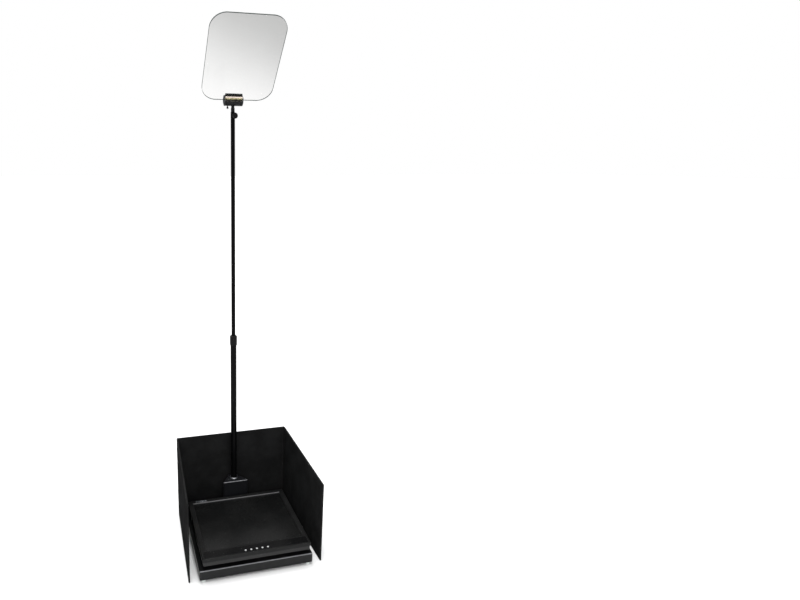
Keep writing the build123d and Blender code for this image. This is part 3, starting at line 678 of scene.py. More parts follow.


# The dark finishes get strong lighter edges: partly rubbed paint, partly a painted highlight along the edges.
TRAY_PAINT = Finish("tray_powder_coat", (0.0042, 0.0045, 0.0049), 0.36, Grain.PEEL, 1100.0, 0.03,
                    specular=0.2, wear_and_highlight=0.9, worn_and_highlight=(0.10, 0.10, 0.105), wear_and_highlight_width=2.4, dust=0.04)
# Light grey finish for the front rolled edges: a painted highlight.
ROLLED_EDGE_HIGHLIGHT = Finish("rolled_edge_painted_highlight", (0.17, 0.172, 0.182), 0.3, Grain.PEEL, 1100.0, 0.02, 0.3, 40.0,
                     specular=0.3, dust=0.02)
# Light grey finish for the back lip of the screen opening: a painted highlight.
LIP_HIGHLIGHT = Finish("recess_lip_painted_highlight", (0.12, 0.12, 0.124), 0.36, Grain.MOULDED, 1500.0, 0.02, 0.2, 30.0,
                    specular=0.3, dust=0.0)
HOUSING_PAINT = Finish("housing_blue_black_paint", (0.0060, 0.0064, 0.0078), 0.32, Grain.PEEL, 900.0, 0.02,
                       specular=0.22, wear_and_highlight=0.9, worn_and_highlight=(0.13, 0.133, 0.15), wear_and_highlight_width=2.2, dust=0.03)
BOARD = Finish("hood_leatherette", (0.0145, 0.0147, 0.0149), 0.7, Grain.PEBBLE, 620.0, 0.05, 0.5, 16.0,
               specular=0.0, wear_and_highlight=0.9, worn_and_highlight=(0.06, 0.06, 0.06), wear_and_highlight_width=2.2, scratches=0.05, dust=0.02)
MONITOR_PLASTIC = Finish("monitor_moulding", (0.0034, 0.0036, 0.0037), 0.44, Grain.MOULDED, 1500.0, 0.025,
                         specular=0.16, wear_and_highlight=0.7, worn_and_highlight=(0.08, 0.08, 0.085), wear_and_highlight_width=2.0, dust=0.03)
COVER_PLASTIC = Finish("rear_cover_moulding", (0.0085, 0.0088, 0.009), 0.5, Grain.MOULDED, 1300.0, 0.03,
                       specular=0.3, wear_and_highlight=0.2)
STRIP_GLOSS = Finish("button_strip_gloss", (0.003, 0.0031, 0.0033), 0.25, Grain.MOULDED, 700.0, 0.004,
                     specular=0.1, dust=0.02)
SCREEN = Finish("screen_antiglare", (0.0018, 0.002, 0.002), 0.27, Grain.MOULDED, 2600.0, 0.003, 0.1, 5.0,
                0.03, specular=0.42, scratches=0.05, dust=0.02)
LCD_FRAME = Finish("lcd_frame_steel", (0.45, 0.46, 0.47), 0.34, Grain.BRUSHED, 1500.0, 0.01, metallic=1.0)
BUTTON = Finish("button_cap_pale", (0.42, 0.43, 0.43), 0.3, Grain.TURNED, 3000.0, 0.004, 0.05, specular=0.5,
                dust=0.02)
BADGE = Finish("badge_brushed", (0.30, 0.32, 0.34), 0.28, Grain.BRUSHED, 2600.0, 0.01, 0.5, 90.0,
               metallic=1.0, wear_and_highlight=0.5, worn_and_highlight=(0.75, 0.77, 0.8), wear_and_highlight_width=0.5)
POLE_GLOSS = Finish("pole_black_enamel", (0.0024, 0.0025, 0.0027), 0.26, Grain.DRAWN, 900.0, 0.006, 0.2, 9.0,
                    specular=0.05, wear_and_highlight=0.2, scratches=0.25, dust=0.02)
UPPER_GLOSS = Finish("upper_tube_anodised", (0.0022, 0.0023, 0.0026), 0.3, Grain.DRAWN, 1100.0, 0.006, 0.2,
                     9.0, specular=0.03, wear_and_highlight=0.2, scratches=0.3, dust=0.02)
RING = Finish("ring_turned_aluminium", (0.40, 0.41, 0.43), 0.3, Grain.TURNED, 4000.0, 0.012, 0.2, 60.0,
              metallic=1.0, dust=0.05)
GRIP_PLASTIC = Finish("grip_moulding", (0.004, 0.004, 0.0044), 0.48, Grain.MOULDED, 1600.0, 0.03,
                      specular=0.1, wear_and_highlight=0.5, worn_and_highlight=(0.06, 0.06, 0.06), wear_and_highlight_width=0.7)
COLLET = Finish("collet_natural_plastic", (0.55, 0.55, 0.52), 0.5, Grain.MOULDED, 1200.0, 0.02)
CLAMP = Finish("clamp_black_anodised", (0.005, 0.0053, 0.006), 0.46, Grain.BRUSHED, 1500.0, 0.006,
               specular=0.14, wear_and_highlight=0.4, worn_and_highlight=(0.1, 0.1, 0.11), wear_and_highlight_width=0.6)
BRASS = Finish("jaw_satin_brass", (0.95, 0.88, 0.50), 0.42, Grain.BRUSHED, 1800.0, 0.01, 0.08, 70.0,
               metallic=0.85, wear_and_highlight=0.3, worn_and_highlight=(0.98, 0.94, 0.7), wear_and_highlight_width=0.6, dust=0.02)
# Paler copy of the jaw brass for the upper half of the plate: a painted reflection.
BRASS_REFLECTION = Finish("jaw_brass_painted_reflection", (0.95, 0.82, 0.72), 0.42, Grain.BRUSHED, 1800.0, 0.01, 0.08, 70.0,
                    metallic=0.85, wear_and_highlight=0.3, worn_and_highlight=(0.98, 0.92, 0.85), wear_and_highlight_width=0.6, dust=0.02)
PAD = Finish("pad_black_rubber", (0.007, 0.007, 0.007), 0.7, Grain.MOULDED, 1400.0, 0.04, specular=0.1,
             wear_and_highlight=0.1)
CAP = Finish("cap_dark_satin", (0.022, 0.024, 0.027), 0.42, Grain.BRUSHED, 1500.0, 0.006, specular=0.25,
             wear_and_highlight=0.5, worn_and_highlight=(0.16, 0.165, 0.175), wear_and_highlight_width=0.8)
LEVER_TIP = Finish("lever_ball_pale", (0.42, 0.44, 0.45), 0.3, Grain.MOULDED, 1000.0, 0.01, specular=0.5)
PANE_EDGE = Finish("pane_ground_edge", (0.012, 0.024, 0.021), 0.5, Grain.MOULDED, 1800.0, 0.03, 0.35, 40.0,
                   specular=0.15, dust=0.0)
FOOT = Finish("foot_grey_rubber", (0.62, 0.66, 0.64), 0.62, Grain.MOULDED, 1200.0, 0.04, specular=0.3,
              wear_and_highlight=0.2, worn_and_highlight=(0.45, 0.48, 0.46))
ZINC = Finish("zinc_plated_steel", (0.52, 0.53, 0.53), 0.36, Grain.MOULDED, 1400.0, 0.01, metallic=1.0,
              wear_and_highlight=0.3, worn_and_highlight=(0.75, 0.75, 0.74), wear_and_highlight_width=0.5)
BLACK_STEEL = Finish("black_oxide_steel", (0.012, 0.012, 0.0125), 0.42, Grain.MOULDED, 1600.0, 0.01,
                     specular=0.2, wear_and_highlight=0.5, worn_and_highlight=(0.08, 0.08, 0.08), wear_and_highlight_width=0.5)
BALLAST = Finish("ballast_plate_primer", (0.02, 0.021, 0.022), 0.55, Grain.PEEL, 700.0, 0.04, wear_and_highlight=0.4)
BOARD_GREEN = Finish("circuit_board_lacquer", (0.012, 0.075, 0.03), 0.35, Grain.MOULDED, 1900.0, 0.03)
SOCKET = Finish("socket_black_plastic", (0.013, 0.013, 0.014), 0.45, Grain.MOULDED, 1500.0, 0.02)
FLOOR = Finish("studio_floor_paper", (0.93, 0.93, 0.93), 0.85, Grain.PEEL, 40.0, 0.05, 0.01, 0.6, 0.02,
               specular=0.1, scratches=0.0, dust=0.0)
HALF_MIRROR = HalfMirror()


# ---- Sub-assemblies --------------------------------------------------------------------------------
def piece(name: str, shape: Shape, finishes: Sequence[Finish | HalfMirror], slot: str, body: str,
          *nodes: str) -> bpy.types.Object:
    """Turns a mesh in millimetres into a finished piece of the stand.

    Args:
        name: Name of the piece.
        shape: Its mesh, which is freed.
        finishes: One finish for each material number that its faces use.
        slot: The record's material slot. Not used.
        body: The CAD body that it rides on.
        nodes: The CAD nodes that it stands for.

    Returns:
        The new object.
    """
    bmesh.ops.remove_doubles(shape, verts=shape.verts, dist=1e-4)
    bmesh.ops.recalc_face_normals(shape, faces=shape.faces)
    bmesh.ops.scale(shape, vec=(MM, MM, MM), verts=shape.verts)
    mesh = bpy.data.meshes.new(name)
    shape.to_mesh(mesh)
    shape.free()
    mesh.shade_smooth()
    mesh.set_sharp_from_angle(angle=math.radians(SMOOTH_BELOW))
    for finish in finishes:
        mesh.materials.append(finish.material())
    made = bpy.data.objects.new(name, mesh)
    bpy.context.scene.collection.objects.link(made)
    shading = made.modifiers.new("Even shading", "WEIGHTED_NORMAL")
    shading.keep_sharp = True
    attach(made, body)
    if nodes:
        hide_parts(*nodes)
    log.info("piece %s rides on %s, %d faces", name, body, len(mesh.polygons))
    return made


def second_finish(shape: Shape, chosen: Callable[[bmesh.types.BMFace], bool]) -> Shape:
    """Gives the faces that pass a test the second finish of their piece."""
    bmesh.ops.recalc_face_normals(shape, faces=shape.faces)
    for each in shape.faces:
        each.material_index = int(chosen(each))
    return shape


def rolled_front(face: bmesh.types.BMFace) -> bool:
    """Tells whether a face belongs to the rolled upper edge on the front of a folded box, the faces that get
    a painted highlight.
    """
    return 0.3 < face.normal.z < 0.97 and face.normal.y < -0.2


def dress(finish: Finish, *nodes: str) -> None:
    """Gives CAD nodes that keep their own shape a finish.

    Args:
        finish: The finish for all of them.
        nodes: Names of the nodes.
    """
    for name in nodes:
        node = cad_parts[name]
        if not node.material_slots:
            node.data.materials.append(None)
        for holder in node.material_slots:
            holder.material = finish.material()
        log.info("node %s dressed as %s", name, finish.name)


@dataclass
class Base:
    """Folded steel tray with its ballast plate, feet and screws."""

    sheet: float = 2.0
    edge_r: float = 4.0
    hem_r: float = 0.9
    foot_inset: float = 6.5

    def build(self) -> None:
        """Builds the tray and the feet, and dresses the hidden parts."""
        self.tray()
        self.feet()
        dress(BALLAST, "base_plate")
        dress(ZINC, "base_plate_screws", "foot_screws", "vesa_screws")
        dress(TRAY_PAINT, "vesa_plate")

    def tray(self) -> None:
        """Inverted pan with rolled upper edges, hemmed lower edges and a weld line down each corner."""
        box = Extent.of("base_tray")
        outline = rectangle(box.x0, box.x1, box.y0, box.y1)
        under = [(self.sheet, box.z1 - self.sheet), (self.sheet, box.z0 + self.hem_r)]
        rim = [(self.hem_r * (1 + math.cos(a)), box.z0 + self.hem_r * (1 - math.sin(a)))
               for a in (math.pi * k / 8 for k in range(1, 8))]
        outside = edged(box.z0 + self.hem_r, box.z1, 0.0, self.edge_r, 6)
        shape = stack(outline, under + rim + outside, self.edge_r + LEAST_CORNER, 8)
        seams = [bar(x - 0.25, x + 0.25, box.y0 - 1, box.y0 + 0.25, box.z0 - 1, box.z1 - self.edge_r, 0.1)
                 for x in (box.x0 + self.edge_r + 0.6, box.x1 - self.edge_r - 0.6)]
        # The rolled front edge gets the light grey second finish: a painted highlight.
        shape = second_finish(carved(shape, *seams), rolled_front)
        piece("steel_tray", shape, [TRAY_PAINT, ROLLED_EDGE_HIGHLIGHT], "painted_steel", "base", "base_tray")

    def feet(self) -> None:
        """Four ribbed rubber feet, each with a counterbore for its screw."""
        box = Extent.of("rubber_feet")
        r, h = self.foot_inset + 3.0, box.z1
        profile = [(3.9, 0), (r - 1.6, 0), (r, 1.6), (r, h * 0.45), (r - 0.7, h * 0.5), (r, h * 0.55), (r, h),
                   (2.2, h), (2.2, 6.0), (3.9, 6.0)]
        feet = [moved(turned(profile, 0.35, 48), at(x, y))
                for x in (box.x0 + r, box.x1 - r) for y in (box.y0 + r, box.y1 - r)]
        piece("ribbed_feet", joined(*feet), [FOOT], "foot_rubber", "base", "rubber_feet")


@dataclass
class Monitor:
    """Monitor that lies face up: bezel, screen, buttons, badge and what is inside."""

    corner_r: float = 7.0
    rim_r: float = 2.0
    rim_t: float = 2.4
    lip: float = 1.5
    screen_margin: float = 4.0
    strip_side: float = 9.0
    strip_front: float = 7.0
    strip_back: float = 7.0
    strip_depth: float = 0.35
    button_r: float = 3.6

    def build(self) -> None:
        """Builds every visible part of the monitor."""
        self.bezel()
        self.screen()
        self.badge()
        for number in range(1, 6):
            self.button(number)
        dress(COVER_PLASTIC, "monitor_rear_cover")
        dress(LCD_FRAME, "lcd_module", "monitor_chassis")
        dress(BOARD_GREEN, "main_board", "power_board", "button_board")
        dress(SOCKET, "power_socket", "video_socket")

    def bezel(self) -> None:
        """Front frame with a rolled rim, a lip round the screen, a sunk button strip and button wells."""
        box, glass = Extent.of("monitor_bezel"), Extent.of("screen_glass")
        m = self.screen_margin
        outline = rectangle(box.x0, box.x1, box.y0, box.y1)
        face = stack(outline, edged(box.z0, box.z1, 0.6, self.rim_r, 6), self.corner_r, 8)
        hollow = stack(inset(outline, self.rim_t), [(0, box.z0 - 1), (0, glass.z1)],
                       self.corner_r - self.rim_t, 6)
        opening = rectangle(glass.x0 + m, glass.x1 - m, glass.y0 + m, glass.y1 - m)
        window = stack(opening, [(0, glass.z0 - 5), (0, box.z1 - self.lip),
                                 (-self.lip * 0.45, box.z1 - self.lip * 0.3),
                                 (-self.lip, box.z1), (-self.lip, box.z1 + 1)], 0.8)
        front, back = box.y0 + self.strip_front, glass.y0 + m - self.strip_back
        strip = stack(rectangle(box.x0 + self.strip_side, box.x1 - self.strip_side, front, back),
                      [(self.strip_depth, box.z1 - self.strip_depth), (0, box.z1), (0, box.z1 + 1)], 2.5, 6)
        wells = [peg(self.button_r + 0.3, glass.z1 - 1, box.z1 + 2, *self.spot(n)) for n in range(1, 6)]
        shape = carved(face, hollow, window, strip, joined(*wells))
        bmesh.ops.recalc_face_normals(shape, faces=shape.faces)
        floor = box.z1 - self.strip_depth - 0.05
        for each in shape.faces:
            middle = each.calc_center_median()
            sunk = floor < middle.z < box.z1 - 0.02 and front < middle.y < back
            each.material_index = int(sunk and abs(middle.x) < box.x1 - self.strip_side)
            # Back lip faces that face the front get the third finish, a painted highlight.
            if each.normal.y < -0.4 and abs(middle.y - glass.y1 + m) < self.lip * 1.5:
                each.material_index = 2
        finishes = [MONITOR_PLASTIC, STRIP_GLOSS, LIP_HIGHLIGHT]
        piece("bezel_frame", shape, finishes, "monitor_plastic", "base", "monitor_bezel")

    def screen(self) -> None:
        """Anti-glare pane with eased edges, under the lip of the bezel."""
        glass = Extent.of("screen_glass")
        shape = stack(rectangle(glass.x0, glass.x1, glass.y0, glass.y1),
                      edged(glass.z0, glass.z1, 0.3, 0.3, 2), 2.0)
        piece("screen_pane", shape, [SCREEN], "screen_gloss", "base", "screen_glass")

    def badge(self) -> None:
        """Blank plate with a raised border."""
        box = Extent.of("plain_badge")
        top = box.z1
        layers = edged(box.z0, top, 0.0, 0.25, 3) + [(0.9, top), (1.1, top - 0.2)]
        shape = stack(rectangle(box.x0, box.x1, box.y0, box.y1), layers, 1.5)
        piece("blank_badge", shape, [BADGE], "badge_metal", "base", "plain_badge")

    @staticmethod
    def spot(number: int) -> Flat:
        """Middle of a button in plan."""
        box = Extent.of(f"menu_button_{number}")
        return box.x, box.y

    def button(self, number: int) -> None:
        """Round cap with a dished top, a flange under the bezel and a foot over its switch.

        Args:
            number: Which of the five buttons, from the left.
        """
        box = Extent.of(f"menu_button_{number}")
        r, top = self.button_r, box.z1
        profile = [(0, box.z0), (2.0, box.z0), (2.0, box.z0 + 0.8), (r + 1.2, box.z0 + 0.8),
                   (r + 1.2, box.z0 + 2.2), (r, box.z0 + 2.2), (r, top), (r * 0.8, top),
                   (r * 0.45, top - 0.18), (0, top - 0.25)]
        shape = moved(turned(profile, 0.3, 40), at(*self.spot(number)))
        node = f"menu_button_{number}"
        piece(f"button_cap_{number}", shape, [BUTTON], "button_pale", f"button_{number}", node)


@dataclass
class Hood:
    """Three wrapped boards, joined at the back corners by hinges."""

    thickness: float = 6.0
    edge_r: float = 1.3
    hem: float = 7.0
    hem_step: float = 0.22
    hinge_x: float = 237.6
    hinge_y: float = 226.6
    hinge_r: float = 2.4
    leaf_t: float = 1.2
    leaf_w: float = 30.3
    side_start: float = 9.2
    levels: tuple[float, float] = (85.0, 285.0)
    port: tuple[float, float, float, float] = (12.0, 72.0, 54.0, 76.0)
    flare: float = 2.356
    front_h: float = 330.0
    back_h: float = 360.0

    def build(self) -> None:
        """Builds the boards, the grommet of the cable port and the screws."""
        self.back()
        self.grommet()
        self.wing("left", -1)
        self.wing("right", 1)
        self.screws()
        for side in ("left", "right"):
            dress(BLACK_STEEL, f"hinge_fixed_{side}", f"hinge_moving_{side}", f"hinge_pins_{side}")

    def board(self, outline: Sequence[Flat], corner_r: float) -> Shape:
        """Board with wrapped, rounded edges and a shallow step where the wrap meets the facing."""
        t, r = self.thickness, self.edge_r
        facing = [(self.hem + self.hem_step, self.hem_step), (self.hem, 0.0)]
        layers = facing + edged(0.0, t, r, r, 5) + [(inset_by, t - z) for inset_by, z in facing[::-1]]
        return stack(outline, layers, corner_r, 5)

    def back(self) -> None:
        """Back board with its cable port."""
        box = Extent.of("hood_back_panel")
        outline = rectangle(box.x0, box.x1, box.z0, box.z1)
        shape = moved(self.board(outline, 2.0), at(y=box.y1), ALONG_Y)
        port = stack(rectangle(*self.port), [(0, -1), (0, self.thickness + 1)], 4.0, 6)
        shape = carved(shape, moved(port, at(y=box.y1), ALONG_Y))
        piece("back_board", shape, [BOARD], "hood_board", "base", "hood_back_panel")

    def grommet(self) -> None:
        """Rubber lip round the cable port."""
        box = Extent.of("hood_back_panel")
        outline = rounded(rectangle(*self.port), 4.0, 6)
        t = self.thickness
        tube = [(2.2, -0.2), (2.2, t + 0.2), (1.6, t + 0.9), (-1.2, t + 0.9), (-1.8, t + 0.4),
                (-1.5, t), (0.0, t), (0.0, 0.0), (-1.5, 0.0), (-1.8, -0.4), (-1.2, -0.9), (1.6, -0.9)]
        shape = bmesh.new()
        loops = [[shape.verts.new((x, y, z)) for x, y in inset(outline, d)] for d, z in tube]
        for low, high in zip(loops, loops[1:] + loops[:1]):
            for k in range(len(low)):
                shape.faces.new((low[k - 1], low[k], high[k], high[k - 1]))
        piece("port_grommet", moved(shape, at(y=box.y1), ALONG_Y), [PAD], "pad_rubber", "base")

    def wing(self, name: str, side: int) -> None:
        """Side board with a sloping upper edge, and the screws of its hinges.

        Args:
            name: Left or right.
            side: -1 for the left board and 1 for the right one.
        """
        box = Extent.of(f"hood_{name}_panel")
        near, r = self.side_start, self.hinge_r
        far = (self.hinge_y - box.y0) / math.cos(math.radians(self.flare)) - 0.2
        outline = [(-far, box.z0), (-near, box.z0), (-near, self.back_h), (-far, self.front_h)]
        place = [at(-self.hinge_x, self.hinge_y), spun(-self.flare)]
        if side > 0:
            place.insert(0, MIRROR_X)
        flat = moved(self.board(outline, 2.0), at(-r), ALONG_X)
        pockets = [bar(-r - 1, -r + self.leaf_t, -self.leaf_w, 0, level - 25.3, level + 25.3, 0.3)
                   for level in self.levels]
        shape = moved(carved(flat, joined(*pockets)), *place)
        body = f"{name}_wing"
        piece(f"{name}_board", shape, [BOARD], "hood_board", body, f"hood_{name}_panel")
        turn_out = spun(-90.0, "Y")
        heads = [moved(screw_head(2.4, 0.5, Drive.CROSS, 0.5), *place, at(-r + 0.05, -19.0, z), turn_out)
                 for level in self.levels for z in (level - 18.0, level, level + 18.0)]
        piece(f"{name}_wing_hinge_screws", joined(*heads), [BLACK_STEEL], "black_screw", body)
        fixed = [MIRROR_X] if side > 0 else []
        turn_back = spun(-90.0, "X")
        heads = [moved(screw_head(2.4, 0.9, Drive.CROSS, 0.5), *fixed,
                       at(-self.hinge_x + 19.0, self.hinge_y - 1.45, z), turn_back)
                 for level in self.levels for z in (level - 18.0, level, level + 18.0)]
        piece(f"{name}_back_hinge_screws", joined(*heads), [BLACK_STEEL], "black_screw", "base")

    def screws(self) -> None:
        """Domed screws that hold the back board to the tray."""
        box = Extent.of("hood_screws")
        z, board_y = (box.z0 + box.z1) / 2, Extent.of("hood_back_panel").y1
        heads = [moved(screw_head(5.0, 3.4, Drive.CROSS), at(x, board_y, z), spun(-90.0, "X"))
                 for x in (-150.0, 150.0)]
        piece("board_screws", joined(*heads), [BLACK_STEEL], "black_screw", "base", "hood_screws")


@dataclass
class Mast:
    """Pole housing, lower tube and trim ring on the base, and the twist collar and upper tube above."""

    axis_y: ClassVar[float] = 182.0
    lower_r: float = 12.5
    lower_bore: float = 10.5
    upper_r: float = 8.0
    upper_bore: float = 6.5
    collar_r: float = 14.6
    flutes: int = 16
    knob_r: float = 10.5
    knob_h: float = 8.5
    knob_turn: float = 21.0
    knob_near: float = 11.4

    def build(self) -> None:
        """Builds the whole telescopic pole."""
        self.housing()
        self.ring()
        self.tubes()
        self.collar()
        self.knob()
        dress(TRAY_PAINT, "pole_socket")
        dress(ZINC, "socket_screws", "pole_grub_screw", "swivel_stud")
        dress(COLLET, "pole_collet", "slider_bush")
        dress(BLACK_STEEL, "knob_boss")

    def housing(self) -> None:
        """Folded cover that is wide in front and necks in behind the pole, with its two screws."""
        box, t = Extent.of("pole_housing"), 2.0
        back, neck = 22.0, self.axis_y + 14.0
        outline = [(box.x0, box.y0), (box.x1, box.y0), (back, neck),
                   (back, box.y1), (-back, box.y1), (-back, neck)]
        shape = stack(outline, [(t, box.z1 - t), (t, box.z0)] + edged(box.z0, box.z1, 0.0, 2.6, 6), 3.0, 5)
        spots = [(x, self.axis_y - 23.0) for x in (-19.0, 19.0)]
        holes = [peg(17.3, box.z1 - 9, box.z1 + 1, 0.0, self.axis_y, 64)]
        holes += [peg(1.6, box.z1 - 9, box.z1 + 1, x, y) for x, y in spots]
        # The rolled front edge gets the light grey second finish: a painted highlight.
        shape = second_finish(carved(shape, joined(*holes)), rolled_front)
        piece("pole_cover", shape, [HOUSING_PAINT, ROLLED_EDGE_HIGHLIGHT], "housing_paint", "base", "pole_housing")
        heads = [moved(screw_head(2.7, 1.6, Drive.CROSS), at(x, y, box.z1)) for x, y in spots]
        piece("cover_screws", joined(*heads), [BLACK_STEEL], "black_screw", "base", "housing_screws")

    def ring(self) -> None:
        """Turned trim ring with a fine groove round its side."""
        box = Extent.of("foot_ring")
        r, z0, z1 = box.x1, box.z0, box.z1
        profile = [(self.lower_r + 0.1, z0), (r, z0), (r, z0 + 1.0), (r - 0.35, z0 + 1.3), (r, z0 + 1.6),
                   (r - 0.2, z1 - 1.1), (r - 1.4, z1), (self.lower_r + 0.1, z1)]
        shape = moved(turned(profile, [0.1, 0.2, 0.1, 0.1, 0.3, 1.0, 0.8, 0.5], 96), at(y=self.axis_y))
        piece("trim_ring", shape, [RING], "ring_metal", "base", "foot_ring")

    def tubes(self) -> None:
        """Lower and upper tube with eased mouths."""
        for name, node, r, bore, body, finish in (
                ("pole_lower", "lower_tube", self.lower_r, self.lower_bore, "base", POLE_GLOSS),
                ("pole_upper", "upper_tube", self.upper_r, self.upper_bore, "mast", UPPER_GLOSS)):
            box = Extent.of(node)
            shape = turned([(bore, box.z0), (r, box.z0), (r, box.z1), (bore, box.z1)], 0.45, 96)
            piece(name, moved(shape, at(y=self.axis_y)), [finish], "pole_gloss", body, node)

    def collar(self) -> None:
        """Fluted grip with a plain band at each end."""
        box, r = Extent.of("twist_collar"), self.collar_r
        z0, z1 = box.z0, box.z1
        low, high = z0 + 5.0, z1 - 7.0

        def flute(angle: float, z: float) -> float:
            """Factor on the radius: a shallow scoop every so many degrees, between the two bands."""
            if not low < z < high:
                return 1.0
            fade = min(1.0, (z - low) / 1.5, (high - z) / 1.5)
            return 1.0 - 0.038 * fade * max(0.0, math.cos(angle * self.flutes)) ** 2

        rows = [(r, low + (high - low) * k / 14) for k in range(15)]
        profile = [(self.lower_r + 0.1, z0), (r - 0.8, z0), (r, z0 + 0.8), (r, z0 + 3.0), (r - 0.5, z0 + 3.5),
                   (r, z0 + 4.0), *rows, (r, z1 - 5.4), (r - 0.5, z1 - 5.0), (r, z1 - 4.6), (r, z1 - 2.2),
                   (r - 2.2, z1), (self.upper_r + 0.4, z1), (self.upper_r + 0.4, z1 - 21.0),
                   (self.lower_r + 0.1, z1 - 20.5)]
        eases = [0.1] * 6 + [0.0] * 15 + [0.1, 0.1, 0.1, 0.6, 0.6, 0.3, 0.1, 0.1]
        shape = moved(turned(profile, eases, 192, flute), at(y=self.axis_y))
        piece("grip_collar", shape, [GRIP_PLASTIC], "black_plastic", "collar", "twist_collar")

    def knob(self) -> None:
        """Scalloped thumb knob with a dished face and a raised middle."""
        r, h = self.knob_r, self.knob_h
        box = Extent.of("swivel_knob")

        def scallop(angle: float, z: float) -> float:
            """Factor on the radius: ten shallow scoops round the rim."""
            return 1.0 - 0.085 * max(0.0, math.cos(10 * angle)) ** 2

        rim = turned([(2.6, 0), (r - 2.0, 0), (r, 1.0), (r, h - 1.2), (r - 1.2, h), (r - 3.2, h),
                      (r - 4.0, h - 0.9), (4.2, h - 0.9), (3.4, h - 0.1), (0, h), (0, h - 1.9),
                      (2.6, h - 2.0)],
                     [0.2, 0.5, 0.8, 1.0, 1.0, 0.5, 0.4, 0.4, 0.4, 0, 0, 0.1], 160, scallop)
        turn = spun(self.knob_turn)
        middle = (box.z0 + box.z1) / 2
        place = [at(y=self.axis_y, z=middle), turn, spun(90.0, "X"), at(z=self.knob_near)]
        piece("thumb_knob", moved(rim, *place), [GRIP_PLASTIC], "black_plastic", "lock_knob", "swivel_knob")


